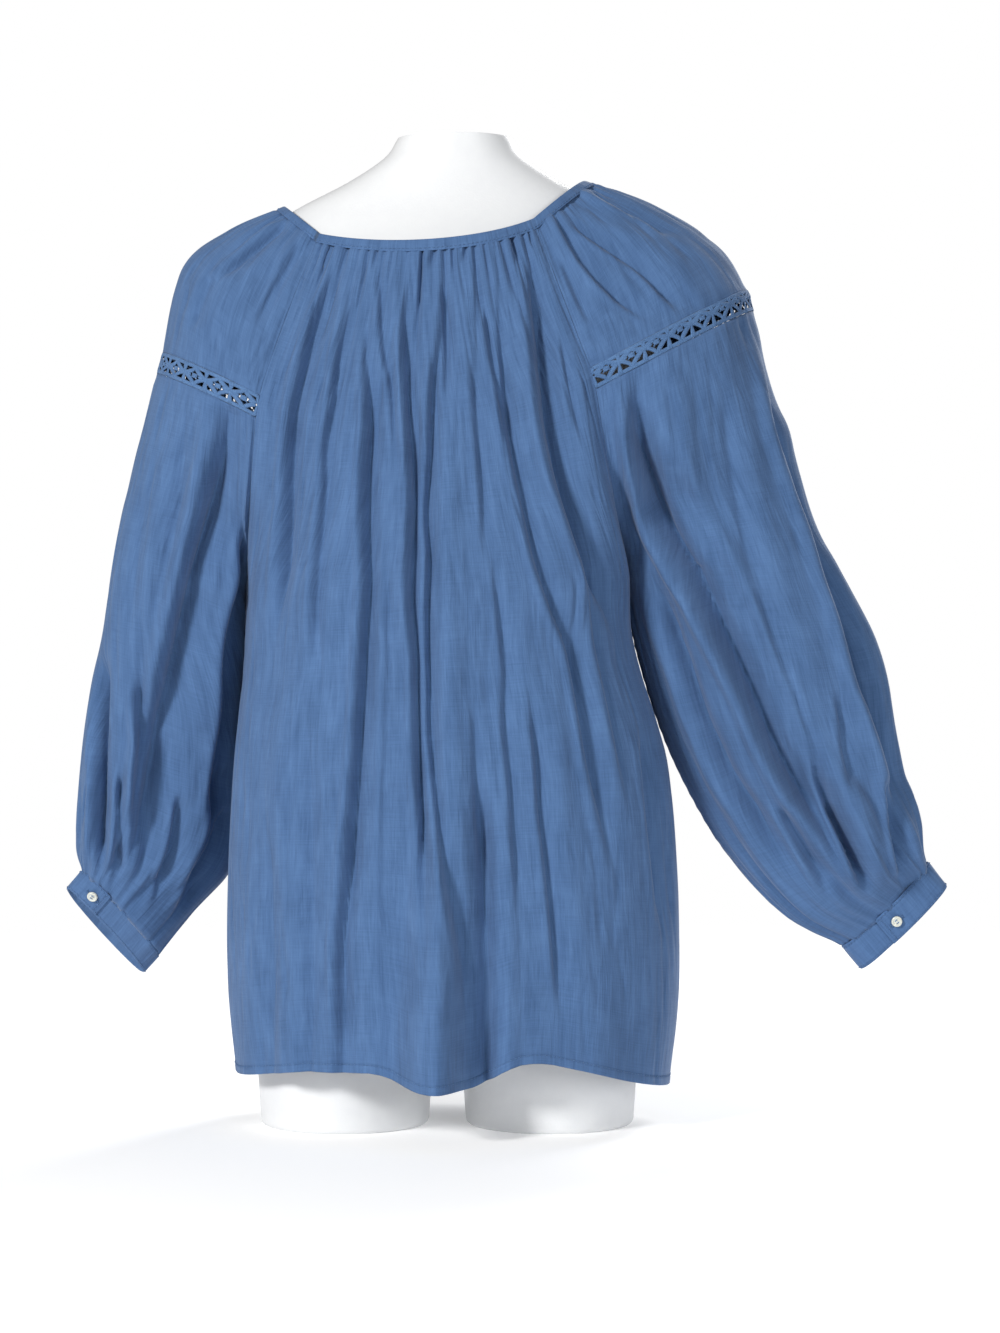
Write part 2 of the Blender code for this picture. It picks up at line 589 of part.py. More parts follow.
def add_dress_form():
    """A smooth torso joined to two short thighs that it stands on."""
    rings = []
    steps = (len(FORM) - 1) * FORM_SUBDIVISION
    for i in range(steps + 1):
        ring = read(along(FORM, i / FORM_SUBDIVISION), FORM_RING)
        lean = FORM_LEAN * (1 - ring["z"] / FORM[-1][0])
        rings.append(ring_points(ring["half_width"], ring["back"], ring["front"], ring["z"],
                                 FORM_COLUMNS, lean))
    torso = finish_object(closed_loft("dress_form", rings), "dress_form", "plastic")
    for sign in (-1, 1):
        across_radius, deep_radius = THIGH_RADIUS
        thigh_rings = []
        for z, shrink in ((0.0, 0.003), (0.004, 0.0005), (0.010, 0.0), (THIGH_TOP, -THIGH_TOP_GROWTH)):
            ring = ring_points(across_radius - shrink, deep_radius - shrink, deep_radius - shrink, z,
                               FORM_COLUMNS, FORM_LEAN + sign * THIGH_SPREAD)
            thigh_rings.append([(x, y + THIGH_SETBACK, z_) for x, y, z_ in ring])
        thigh = finish_object(closed_loft("thigh", thigh_rings), "thigh", "plastic")
        thigh.hide_render = True
        thigh.display_type = 'WIRE'
        join = torso.modifiers.new("Thigh", 'BOOLEAN')
        join.operation = 'UNION'
        join.solver = 'EXACT'
        join.object = thigh


def centre_on_footprint():
    """Move everything so that the origin is under the middle of the part's box."""
    bpy.context.view_layer.update()
    graph = bpy.context.evaluated_depsgraph_get()
    corners = []
    for item in bpy.data.objects:
        if item.type == 'MESH' and not item.hide_render:
            shape = item.evaluated_get(graph)
            mesh = shape.to_mesh()
            corners += [item.matrix_world @ vertex.co for vertex in mesh.vertices]
            shape.to_mesh_clear()
    spread = np.array([tuple(corner) for corner in corners])
    middle = (spread.min(axis=0) + spread.max(axis=0)) / 2
    for item in bpy.data.objects:
        item.location.x -= middle[0]
        item.location.y -= middle[1]


def main():
    for item in list(bpy.data.objects):
        bpy.data.objects.remove(item, do_unlink=True)
    add_dress_form()
    add_body()
    for side in ("left", "right"):
        add_sleeve(side)
        add_cuff(side)
    add_neck_binding()
    centre_on_footprint()


main()
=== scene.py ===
"""Looks of a crinkled cotton peasant blouse that hangs on a white dress form.

Every cloth piece is a thin shell on the same rows as its solid.  Its main creases are
placed one by one, and the small gathers at its seams are drawn from seeded tables.  Metres,
+Z up; the form faces -Y and its left side is +X.
"""

import logging
import math
from dataclasses import dataclass, field
from enum import Enum

import bpy
import numpy as np
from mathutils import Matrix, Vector


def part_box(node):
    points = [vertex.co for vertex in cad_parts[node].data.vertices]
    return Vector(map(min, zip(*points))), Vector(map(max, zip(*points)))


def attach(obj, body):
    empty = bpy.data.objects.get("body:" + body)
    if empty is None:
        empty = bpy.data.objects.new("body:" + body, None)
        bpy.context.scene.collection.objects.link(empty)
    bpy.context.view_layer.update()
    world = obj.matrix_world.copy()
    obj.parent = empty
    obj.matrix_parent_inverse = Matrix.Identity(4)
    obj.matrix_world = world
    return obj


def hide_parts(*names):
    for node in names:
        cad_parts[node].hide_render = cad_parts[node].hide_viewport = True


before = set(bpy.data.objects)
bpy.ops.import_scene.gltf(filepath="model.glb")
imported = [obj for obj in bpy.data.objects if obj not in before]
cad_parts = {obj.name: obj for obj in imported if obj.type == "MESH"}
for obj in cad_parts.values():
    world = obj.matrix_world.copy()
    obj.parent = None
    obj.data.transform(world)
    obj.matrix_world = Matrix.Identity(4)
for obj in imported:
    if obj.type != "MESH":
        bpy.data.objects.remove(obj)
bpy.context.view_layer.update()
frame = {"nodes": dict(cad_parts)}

BODY = "root"
LOG = logging.getLogger("peasant_blouse")

Grid = np.ndarray
Number = "float | Value"


class Side(Enum):
    """The wearer's side that a sleeve, cuff or button belongs to."""

    LEFT = "left"
    RIGHT = "right"


class Face(Enum):
    """The body panel on the wearer's back or chest."""

    BACK = "back"
    FRONT = "front"


class Slot(Enum):
    """Material slots of the part's record."""

    COTTON = "cotton"
    LACE = "lace"
    PEARL = "pearl"
    PLASTIC = "plastic"


# ---------------------------------------------------------------- small maths

def smooth(value: Grid | float, low: float, high: float) -> Grid:
    """Rise softly from 0 at low to 1 at high."""
    x = np.clip((np.asarray(value, float) - low) / (high - low), 0, 1)
    return x * x * (3 - 2 * x)


def hump(distance: Grid) -> Grid:
    """A soft bell: 1 at 0 and nothing beyond 1."""
    return np.clip(1 - distance * distance, 0, 1) ** 2


def unit(vector: Grid) -> Grid:
    """The vectors along the last axis, at length 1."""
    length = np.linalg.norm(vector, axis=-1, keepdims=True)
    return vector / np.maximum(length, 1e-12)


def along(table: Grid, place: float) -> Grid:
    """The table's row at a place between its rows, on a smooth curve through them.

    Args:
        table: rows of numbers.
        place: row number, fractions allowed.

    Returns:
        One row of numbers.
    """
    rows = np.asarray(table, float)
    place = min(max(place, 0.0), len(rows) - 1.0)
    i = min(int(place), len(rows) - 2)
    f = place - i
    before, here, after = rows[max(i - 1, 0)], rows[i], rows[i + 1]
    beyond = rows[min(i + 2, len(rows) - 1)]
    leave = (after - before) / (2 if i else 1)
    arrive = (beyond - here) / (2 if i + 2 < len(rows) else 1)
    f2, f3 = f * f, f * f * f
    return ((2 * f3 - 3 * f2 + 1) * here + (f3 - 2 * f2 + f) * leave
            + (3 * f2 - 2 * f3) * after + (f3 - f2) * arrive)


def arc(start: Grid, end: Grid, crown: Grid, half_angle: float, spans: tuple[Grid, Grid],
        turns: Grid, fullness: float = 1.0, full_turn: float = math.pi) -> Grid:
    """One row of cloth from start over the crown to end.

    Args:
        start: first point, at turn 1.
        end: last point, at turn -1.
        crown: point at turn 0.
        half_angle: angle from the crown to either end, in radians.
        spans: reach to the side of turns above 0 and below 0.
        turns: places across the row, from 1 to -1.
        fullness: 1 for an ellipse, less for squarer sides.
        full_turn: half angle of the ring that the row grows into further down.

    Returns:
        A point for each turn.
    """
    middle, half_chord = (start + end) / 2, (start - end) / 2
    missing = full_turn - half_angle
    late = min(max(0.75 * full_turn / max(missing, 0.01) - 1, 0.0), 3.0)
    ending = turns * np.abs(turns) ** late
    angle = turns * full_turn - missing * ending
    low = math.cos(half_angle)
    rise = np.maximum((np.cos(angle) - low) / (1 - low), 0) ** fullness
    reach = np.where(turns[:, None] > 0, spans[0], spans[1])
    rest = (half_chord - reach * math.sin(half_angle)) * ending[:, None]
    return middle + (crown - middle) * rise[:, None] + reach * np.sin(angle)[:, None] + rest


def normals_of(grid: Grid) -> Grid:
    """Outward unit normals of a grid whose rows run down and columns run round."""
    return unit(np.cross(np.gradient(grid, axis=0), np.gradient(grid, axis=1)))


# ---------------------------------------------------------------- the garment's rows

BODY_ROW = ("back_x", "back_y", "back_z", "front_x", "front_y", "front_z", "half_angle", "fullness")
BODY_ROWS = (
    (0.017, 0.076, 0.7125, 0.010, -0.090, 0.684, 46, 1.00),
    (0.016, 0.092, 0.647, 0.006, -0.108, 0.632, 50, 1.00),
    (0.015, 0.102, 0.602, 0.002, -0.121, 0.594, 54, 1.00),
    (0.014, 0.106, 0.577, 0.001, -0.127, 0.570, 57, 1.00),
    (0.013, 0.108, 0.562, 0.001, -0.129, 0.556, 59, 0.98),
    (0.012, 0.113, 0.515, 0.002, -0.132, 0.512, 68, 0.90),
    (0.011, 0.117, 0.471, 0.004, -0.131, 0.470, 82, 0.78),
    (0.011, 0.120, 0.434, 0.006, -0.129, 0.434, 90, 0.69),
    (0.010, 0.122, 0.376, 0.006, -0.127, 0.376, 90, 0.70),
    (0.006, 0.125, 0.298, 0.005, -0.127, 0.298, 90, 0.74),
    (0.003, 0.130, 0.200, 0.003, -0.129, 0.200, 90, 0.78),
    (0.001, 0.135, 0.112, 0.001, -0.133, 0.112, 90, 0.82),
    (0.001, 0.139, 0.046, 0.001, -0.136, 0.042, 90, 0.84),
)
SIDE_ROW = ("left_x", "left_z", "right_x", "right_z")
SIDES = (
    (0.1725, 0.369, -0.1445, 0.384),
    (0.1800, 0.292, -0.1705, 0.300),
    (0.1845, 0.196, -0.1810, 0.199),
    (0.1850, 0.112, -0.1830, 0.110),
    (0.1795, 0.043, -0.1755, 0.032),
)
SLEEVE_ROW = ("back_x", "back_y", "front_x", "front_y", "seam_z", "crown_x", "crown_y", "crown_z",
              "depth_back", "depth_front", "half_angle")
LEFT_SLEEVE = (
    (0.1080, 0.047, 0.0950, -0.063, 0.7205, 0.1390, -0.004, 0.7490, 0.080, 0.082, 47),
    (0.1270, 0.064, 0.1130, -0.087, 0.6700, 0.1860, -0.004, 0.7290, 0.086, 0.092, 60),
    (0.1440, 0.077, 0.1280, -0.099, 0.6200, 0.2230, -0.004, 0.6980, 0.088, 0.098, 78),
    (0.1540, 0.082, 0.1360, -0.103, 0.5870, 0.2395, -0.004, 0.6290, 0.086, 0.098, 95),
    (0.1570, 0.082, 0.1390, -0.103, 0.5700, 0.2440, -0.004, 0.6120, 0.084, 0.097, 100),
    (0.1620, 0.069, 0.1490, -0.090, 0.5170, 0.2600, -0.003, 0.5500, 0.074, 0.090, 125),
    (0.1670, 0.037, 0.1620, -0.052, 0.4660, 0.2715, -0.001, 0.4980, 0.060, 0.074, 156),
    (0.1700, 0.000, 0.1700, 0.000, 0.4270, 0.2795, 0.004, 0.4550, 0.055, 0.071, 180),
    (0.1745, -0.032, 0.1745, -0.032, 0.3660, 0.2895, 0.008, 0.3860, 0.047, 0.068, 180),
    (0.1760, -0.066, 0.1760, -0.066, 0.2960, 0.2990, 0.006, 0.3180, 0.038, 0.062, 180),
    (0.1830, -0.084, 0.1830, -0.084, 0.2330, 0.3060, -0.002, 0.2610, 0.036, 0.055, 180),
    (0.2110, -0.080, 0.2110, -0.080, 0.1820, 0.3090, -0.012, 0.2230, 0.032, 0.042, 180),
    (0.2485, -0.060, 0.2485, -0.060, 0.1305, 0.3076, -0.020, 0.2045, 0.017, 0.019, 180),
)
RIGHT_SLEEVE = (
    (-0.0640, 0.056, -0.0720, -0.066, 0.7315, -0.1070, -0.004, 0.7700, 0.080, 0.084, 48),
    (-0.0845, 0.075, -0.0920, -0.089, 0.6740, -0.1660, -0.004, 0.7470, 0.088, 0.094, 62),
    (-0.1010, 0.086, -0.1080, -0.101, 0.6290, -0.2170, -0.004, 0.7160, 0.092, 0.099, 80),
    (-0.1090, 0.090, -0.1160, -0.105, 0.6080, -0.2400, -0.004, 0.6800, 0.092, 0.099, 95),
    (-0.1130, 0.090, -0.1200, -0.105, 0.5920, -0.2450, -0.004, 0.6630, 0.090, 0.098, 100),
    (-0.1235, 0.079, -0.1280, -0.090, 0.5310, -0.2730, -0.003, 0.5750, 0.082, 0.090, 125),
    (-0.1325, 0.044, -0.1345, -0.052, 0.4840, -0.2930, -0.002, 0.5080, 0.067, 0.074, 156),
    (-0.1390, 0.000, -0.1390, 0.000, 0.4450, -0.3116, 0.000, 0.4600, 0.067, 0.073, 180),
    (-0.1490, -0.004, -0.1490, -0.004, 0.3840, -0.3405, -0.004, 0.3940, 0.062, 0.067, 180),
    (-0.1775, -0.008, -0.1775, -0.008, 0.3000, -0.3610, -0.008, 0.3200, 0.056, 0.060, 180),
    (-0.2210, -0.014, -0.2210, -0.014, 0.2220, -0.3750, -0.012, 0.2620, 0.049, 0.052, 180),
    (-0.2700, -0.020, -0.2700, -0.020, 0.1680, -0.3835, -0.016, 0.2290, 0.038, 0.040, 180),
    (-0.3182, -0.024, -0.3182, -0.024, 0.1419, -0.3895, -0.020, 0.2116, 0.018, 0.020, 180),
)
# From each sleeve's last ring to its cuff's lower edge.
CUFF_RUNS = {Side.LEFT: (0.0150, -0.013, -0.0165), Side.RIGHT: (-0.0175, -0.002, -0.0205)}
BACK_HEM_LIFT = (
    (-0.180, 0.000), (-0.141, 0.010), (-0.105, 0.020), (-0.070, 0.028), (-0.045, 0.025),
    (-0.024, 0.009), (0.016, 0.002), (0.036, 0.007), (0.056, 0.016), (0.120, 0.013), (0.180, 0.000),
)
FRONT_HEM_LIFT = (
    (-0.180, 0.000), (-0.110, 0.008), (-0.020, 0.010), (0.036, 0.003), (0.100, 0.008), (0.180, 0.000),
)
FORM_RING = ("z", "half_width", "back", "front")
FORM_RINGS = (
    (0.060, 0.120, 0.062, 0.052),
    (0.066, 0.152, 0.088, 0.072),
    (0.085, 0.166, 0.104, 0.084),
    (0.140, 0.170, 0.112, 0.090),
    (0.200, 0.165, 0.106, 0.092),
    (0.280, 0.145, 0.085, 0.092),
    (0.370, 0.123, 0.070, 0.090),
    (0.460, 0.129, 0.078, 0.104),
    (0.530, 0.143, 0.084, 0.115),
    (0.600, 0.156, 0.084, 0.104),
    (0.655, 0.173, 0.080, 0.086),
    (0.695, 0.176, 0.069, 0.070),
    (0.725, 0.159, 0.055, 0.058),
    (0.746, 0.130, 0.046, 0.052),
    (0.768, 0.088, 0.041, 0.048),
    (0.788, 0.058, 0.040, 0.046),
    (0.804, 0.047, 0.040, 0.045),
)


@dataclass(frozen=True)
class Pattern:
    """The rows of cloth that every piece is cut from, from the neckline (0) to the hem (12).

    Attributes:
        underarm: station of the underarm point.
        hem: station of the hem and of the cuff seams.
        binding_end: station of the neck binding's lower edge.
        lace_top: station of the lace band's upper edge.
        lace_end: station of its lower edge.
    """

    underarm: int = 7
    hem: int = 12
    binding_end: float = 0.14
    lace_top: int = 3
    lace_end: int = 4

    @staticmethod
    def named(table: Grid, names: tuple[str, ...], place: float) -> dict[str, float]:
        """One row of a table, by its columns' names."""
        return dict(zip(names, along(table, place)))

    def sleeve_table(self, side: Side) -> tuple:
        """The rows of one sleeve."""
        return LEFT_SLEEVE if side is Side.LEFT else RIGHT_SLEEVE

    def body_edges(self, station: float, face: Face) -> tuple[Grid, Grid]:
        """The left and right ends of a body row.

        Args:
            station: the row.
            face: back or front.

        Returns:
            The left and the right end point.
        """
        if station <= self.underarm:
            ends = []
            for table in (LEFT_SLEEVE, RIGHT_SLEEVE):
                row = self.named(table[:self.underarm + 1], SLEEVE_ROW, station)
                ends.append(np.array([row[face.value + "_x"], row[face.value + "_y"], row["seam_z"]]))
            return ends[0], ends[1]
        left, right = LEFT_SLEEVE[self.underarm], RIGHT_SLEEVE[self.underarm]
        seams = ((left[0], left[4], right[0], right[4]),) + SIDES
        seam = self.named(seams, SIDE_ROW, station - self.underarm)
        return (np.array([seam["left_x"], 0.0, seam["left_z"]]),
                np.array([seam["right_x"], 0.0, seam["right_z"]]))

    def body_row(self, station: float, face: Face, turns: Grid) -> Grid:
        """One row of the back, from left to right, or of the front, from right to left.

        Args:
            station: the row.
            face: back or front.
            turns: places across the row.

        Returns:
            A point for each turn.
        """
        row = self.named(BODY_ROWS, BODY_ROW, station)
        left, right = self.body_edges(station, face)
        start, end = (left, right) if face is Face.BACK else (right, left)
        crown = np.array([row[face.value + axis] for axis in ("_x", "_y", "_z")])
        angle = math.radians(row["half_angle"])
        span = (start - end) / 2 / math.sin(angle)
        points = arc(start, end, crown, angle, (span, span), turns, row["fullness"], angle)
        lifts = np.array(BACK_HEM_LIFT if face is Face.BACK else FRONT_HEM_LIFT)
        share = (points[:, 0] - start[0]) / (end[0] - start[0])
        hem = start[2] + (end[2] - start[2]) * share
        hem += sum(np.interp(points[:, 0] + step, lifts[:, 0], lifts[:, 1])
                   for step in (-0.008, 0.0, 0.008)) / 3
        points[:, 2] += smooth(station, self.underarm + 2, self.hem) * (hem - points[:, 2])
        return points

    def sleeve_shape(self, side: Side, station: float) -> tuple[dict[str, float], Grid, Grid, Grid]:
        """A sleeve row's numbers, its back and front seam points and its crown."""
        row = self.named(self.sleeve_table(side), SLEEVE_ROW, station)
        back = np.array([row["back_x"], row["back_y"], row["seam_z"]])
        front = np.array([row["front_x"], row["front_y"], row["seam_z"]])
        return row, back, front, np.array([row["crown_x"], row["crown_y"], row["crown_z"]])

    def sleeve_depth(self, side: Side, station: float) -> Grid:
        """Unit vector from a sleeve's middle plane to its back side."""
        level = np.array([0.0, 1.0, 0.0])
        if station <= self.underarm:
            return level
        step, ends = 0.05, []
        for place in (station - step, min(station + step, self.hem)):
            _, back, _, crown = self.sleeve_shape(side, place)
            ends.append((back + crown) / 2)
        _, back, _, crown = self.sleeve_shape(side, station)
        turned = unit(np.cross(ends[1] - ends[0], crown - back))
        turned = turned if turned[1] >= 0 else -turned
        blend = float(smooth(station, self.underarm, self.underarm + 1.5))
        return unit(level * (1 - blend) + turned * blend)

    def sleeve_row(self, side: Side, station: float, turns: Grid) -> Grid:
        """One row of a sleeve: the right one from back to front, the left from front to back.

        Args:
            side: which sleeve.
            station: the row.
            turns: places across the row.

        Returns:
            A point for each turn.
        """
        row, back, front, crown = self.sleeve_shape(side, station)
        if station >= self.underarm:
            front = back
        depth = self.sleeve_depth(side, station)
        reach_back, reach_front = depth * row["depth_back"], depth * row["depth_front"]
        angle = math.radians(min(row["half_angle"], 180.0))
        if side is Side.RIGHT:
            return arc(back, front, crown, angle, (reach_back, reach_front), turns)
        return arc(front, back, crown, angle, (-reach_front, -reach_back), turns)


PATTERN = Pattern()


FORM_LEAN = 0.006


def frame_shift() -> Grid:
    """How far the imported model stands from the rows' own origin, from the dress form's box."""
    rings = np.array([along(FORM_RINGS, i / 2) for i in range(2 * len(FORM_RINGS) - 1)])
    lean = FORM_LEAN * (1 - rings[:, 0] / FORM_RINGS[-1][0])
    low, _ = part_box("dress_form")
    return np.array([low[0] - (lean - rings[:, 1]).min(), low[1] + rings[:, 3].max(), 0.0])


SHIFT = frame_shift()


# ---------------------------------------------------------------- creases

@dataclass(frozen=True)
class Crease:
    """A sharp-bottomed trough in hanging cloth, with a soft ridge along both its sides.

    Attributes:
        path: (x, z) places from its top to its bottom.
        depth: how far its bottom lies in.
        width: reach of its sides.
        lean: how much further its right side reaches than its left one.
        ridge: height of the ridges, as a share of the depth.
    """

    path: tuple[tuple[float, float], ...]
    depth: float = 0.005
    width: float = 0.011
    lean: float = 0.5
    ridge: float = 0.26

    def centre(self, z: Grid) -> Grid:
        """The trough's x at each height, with the path's corners rounded off."""
        x_of, z_of = np.array(self.path[::-1]).T
        return sum(np.interp(z + step, z_of, x_of) for step in (-0.012, -0.006, 0, 0.006, 0.012)) / 5

    def press(self, x: Grid, z: Grid) -> Grid:
        """How far each point moves outward.

        Args:
            x: the points' places from side to side.
            z: the points' heights.

        Returns:
            The move of each point, below 0 in the trough.
        """
        top, low = self.path[0][1], self.path[-1][1]
        slope = (self.centre(z + 0.008) - self.centre(z - 0.008)) / 0.016
        off = (x - self.centre(z)) / np.sqrt(1 + slope ** 2)
        reach = self.width * np.where(off > 0, 1 - self.lean, 1 + self.lean)
        away = np.abs(off) / reach
        run = (top - z) / (top - low)
        fade = smooth(run, 0, 0.2) * smooth(1 - run, 0, 0.25)
        core = np.clip(1 - away / 0.62, 0, 1) ** 1.1
        return 1.5 * self.depth * fade * (self.ridge * hump((away - 1.3) / 0.9) - 0.68 * core
                                          - 0.32 * np.clip(1 - away / 1.25, 0, 1) ** 1.5)


@dataclass(frozen=True)
class Flare:
    """A broad outward fold that opens towards the hem.

    Attributes:
        path: (x, z) places from its top to its bottom.
        height: how far it stands out at the bottom.
        left: reach of its left side at the bottom.
        right: reach of its right side.
    """

    path: tuple[tuple[float, float], ...]
    height: float
    left: float
    right: float

    def press(self, x: Grid, z: Grid) -> Grid:
        """How far each point moves outward, for its x and z."""
        x_of, z_of = np.array(self.path[::-1]).T
        off = x - np.interp(z, z_of, x_of)
        run = smooth(self.path[0][1] - z, 0, self.path[0][1] - self.path[-1][1])
        width = np.where(off > 0, self.left, self.right) * (0.45 + 0.55 * run)
        return self.height * run * hump(off / width)


BACK_CREASES = (
    Crease(((.091, .705), (.1112, .6456), (.1271, .571), (.1327, .492), (.1372, .4465), (.145, .385)), .0075, .012),
    Crease(((.083, .688), (.082, .6545), (.090, .623), (.0943, .5755), (.101, .546), (.100, .514),
            (.1067, .4465), (.112, .35)), .0045, .010),
    Crease(((.0705, .680), (.0694, .6277), (.066, .5915), (.0649, .56), (.0671, .5257), (.0683, .48),
            (.0660, .44), (.0689, .40), (.0744, .301), (.0813, .218), (.0883, .157), (.0869, .097),
            (.0855, -.02)), .0080, .012),
    Crease(((.033, .705), (.0345, .672), (.0388, .657), (.0366, .618), (.0355, .582), (.032, .5415),
            (.0298, .503), (.0316, .456), (.0331, .428), (.028, .387), (.0276, .3456), (.026, .2845),
            (.0225, .2458), (.0233, .207), (.019, .12)), .0075, .011),
    Crease(((.0139, .685), (.0092, .627), (.0158, .600), (.0174, .537), (.0208, .4918), (.0178, .456),
            (.0195, .415), (.0178, .359), (.0180, .3315), (.0158, .301), (.0123, .268), (.0067, .221),
            (.002, .188), (-.0044, .160), (-.0101, .125), (-.014, .06)), .0070, .010),
    Crease(((-.0346, .700), (-.037, .641), (-.0402, .605), (-.0425, .5686), (-.0472, .5395),
            (-.0561, .4985), (-.0652, .4578), (-.078, .42), (-.0929, .3868), (-.1011, .3401),
            (-.1095, .2901), (-.120, .245), (-.1343, .18)), .0055, .011),
    Crease(((-.0606, .715), (-.0652, .6682), (-.0675, .6387), (-.0698, .6049), (-.0743, .5641),
            (-.0833, .5257), (-.0969, .4874), (-.1082, .4555), (-.1218, .4239), (-.134, .38)), .0100, .016, .45),
    Crease(((.0583, .695), (.0569, .6458), (.0546, .6184), (.0481, .5962), (.0457, .53)), .0030, .008),
    Crease(((.0083, .680), (.0049, .6139), (.0060, .575)), .0030, .008),
    Crease(((-.0244, .665), (-.0313, .6096), (-.037, .5822), (-.0425, .545)), .0035, .008),
    Crease(((-.0155, .620), (-.020, .5483), (-.0234, .5144), (-.0257, .450)), .0028, .009),
    Crease(((-.0154, .350), (-.0181, .2904), (-.0197, .251), (-.0236, .200)), .0026, .008),
    Crease(((-.0300, .470), (-.0417, .3732), (-.0402, .3314), (-.0457, .2845), (-.0486, .2347),
            (-.0512, .165)), .0028, .008),
    Crease(((-.0597, .360), (-.0666, .3011), (-.0677, .2624), (-.0732, .2211), (-.0777, .1794),
            (-.0803, .1435), (-.0859, .085)), .0042, .009),
    Crease(((-.105, .470), (-.112, .400), (-.128, .320), (-.141, .250)), .0035, .012),
    Crease(((-.1500, .330), (-.1600, .2309), (-.1690, .150)), .0035, .010),
    Crease(((.118, .360), (.1130, .250), (.1110, .150), (.1120, -.02)), .0040, .018, .0),
    Crease(((.146, .250), (.1440, .150), (.1430, -.01)), .0030, .014, .0),
    Crease(((.052, .470), (.0500, .380), (.0530, .280), (.0560, .180)), .0022, .009),
    Crease(((.1230, .700), (.1330, .650), (.1420, .600), (.1470, .550)), .0030, .010),
    Crease(((-.024, .300), (-.0260, .200), (-.0270, .120), (-.0280, -.08)), .0110, .018, -.3, .2),
    Crease(((-.085, .640), (-.092, .590), (-.102, .545)), .0030, .009),
)
BACK_FLARES = (
    Flare(((.012, .340), (.012, .200), (.012, .046)), .030, .036, .026),
    Flare(((-.105, .260), (-.110, .046)), .005, .036, .036),
    Flare(((.112, .200), (.118, .046)), .005, .040, .030),
)
FRONT_CREASES = (
    Crease(((.086, .690), (.100, .620), (.112, .540), (.124, .430), (.132, .300), (.134, .150)), .0070, .012, -.3),
    Crease(((.050, .690), (.055, .610), (.060, .500), (.058, .400), (.066, .260), (.070, .120),
            (.070, -.10)), .0080, .012, -.3),
    Crease(((.022, .690), (.020, .600), (.024, .510), (.016, .400), (.012, .300), (.010, .180)), .0070, .011, -.3),
    Crease(((-.016, .690), (-.022, .600), (-.018, .500), (-.024, .380), (-.022, .240), (-.030, .120),
            (-.032, -.10)), .0085, .012, -.3),
    Crease(((-.052, .700), (-.060, .610), (-.066, .500), (-.064, .390), (-.072, .260), (-.076, .120)), .0075, .012),
    Crease(((-.080, .705), (-.096, .620), (-.110, .520), (-.122, .400), (-.130, .250), (-.132, .080)), .0070, .012),
    Crease(((.036, .640), (.038, .560), (.042, .470), (.038, .380)), .0035, .009),
    Crease(((.002, .650), (.004, .570), (-.002, .490)), .0030, .008),
    Crease(((-.040, .640), (-.042, .560), (-.044, .450), (-.046, .330)), .0035, .009),
    Crease(((.072, .500), (.084, .400), (.090, .280), (.098, .160)), .0040, .010),
    Crease(((-.090, .420), (-.096, .300), (-.104, .180), (-.106, .060)), .0040, .010),
    Crease(((.040, .300), (.044, .200), (.046, .090), (.048, -.08)), .0045, .012),
    Crease(((-.004, .330), (-.006, .220), (.000, .120), (.002, -.06)), .0045, .011),
    Crease(((.150, .400), (.156, .300), (.160, .200), (.158, .080)), .0035, .012),
    Crease(((-.128, .400), (-.148, .300), (-.158, .180)), .0035, .012),
)
FRONT_FLARES = (
    Flare(((.034, .300), (.037, .046)), .013, .030, .026),
    Flare(((-.055, .240), (-.052, .046)), .007, .036, .030),
)
# Creases of the sleeves, on their back sides and on their front sides.
LEFT_SLEEVE_BACK = (
    Crease(((.1761, .600), (.1844, .539), (.1933, .5018), (.2047, .4583), (.2117, .4332), (.2206, .3946),
            (.2297, .3605), (.240, .3311), (.2445, .2991), (.248, .2763), (.2548, .2493), (.2616, .2266),
            (.2706, .1991), (.2851, .1688)), .0120, .020, .4, .40),
    Crease(((.169, .500), (.1726, .4424), (.182, .4129), (.189, .3789), (.1911, .3311), (.2003, .2878),
            (.2036, .265), (.2056, .220)), .0110, .012),
    Crease(((.252, .370), (.2568, .3377), (.2548, .3128), (.2595, .2857), (.2638, .2350)), .0080, .010),
    Crease(((.2900, .390), (.2923, .3355), (.2911, .2991), (.290, .265), (.2923, .2309), (.2935, .180)), .0110, .012),
    Crease(((.1904, .300), (.2024, .24), (.2173, .2059), (.234, .165)), .0080, .010),
    Crease(((.186, .262), (.200, .222), (.222, .185), (.240, .160)), .0070, .009),
    Crease(((.226, .270), (.232, .230), (.243, .195), (.255, .165)), .0070, .009),
    Crease(((.215, .560), (.222, .500), (.232, .440), (.240, .400)), .0025, .012, .0),
    Crease(((.250, .520), (.258, .450), (.264, .390)), .0025, .012, .0),
    Crease(((.272, .290), (.274, .250), (.279, .210), (.286, .185)), .0070, .009),
)
LEFT_SLEEVE_FRONT = (
    Crease(((.180, .540), (.195, .470), (.208, .400), (.224, .330), (.240, .260), (.262, .190)), .0100, .015),
    Crease(((.228, .540), (.246, .460), (.262, .370), (.272, .290), (.282, .210)), .0080, .012),
    Crease(((.182, .420), (.196, .350), (.205, .280), (.222, .200)), .0070, .011),
    Crease(((.258, .400), (.276, .330), (.290, .260), (.294, .190)), .0060, .010),
)
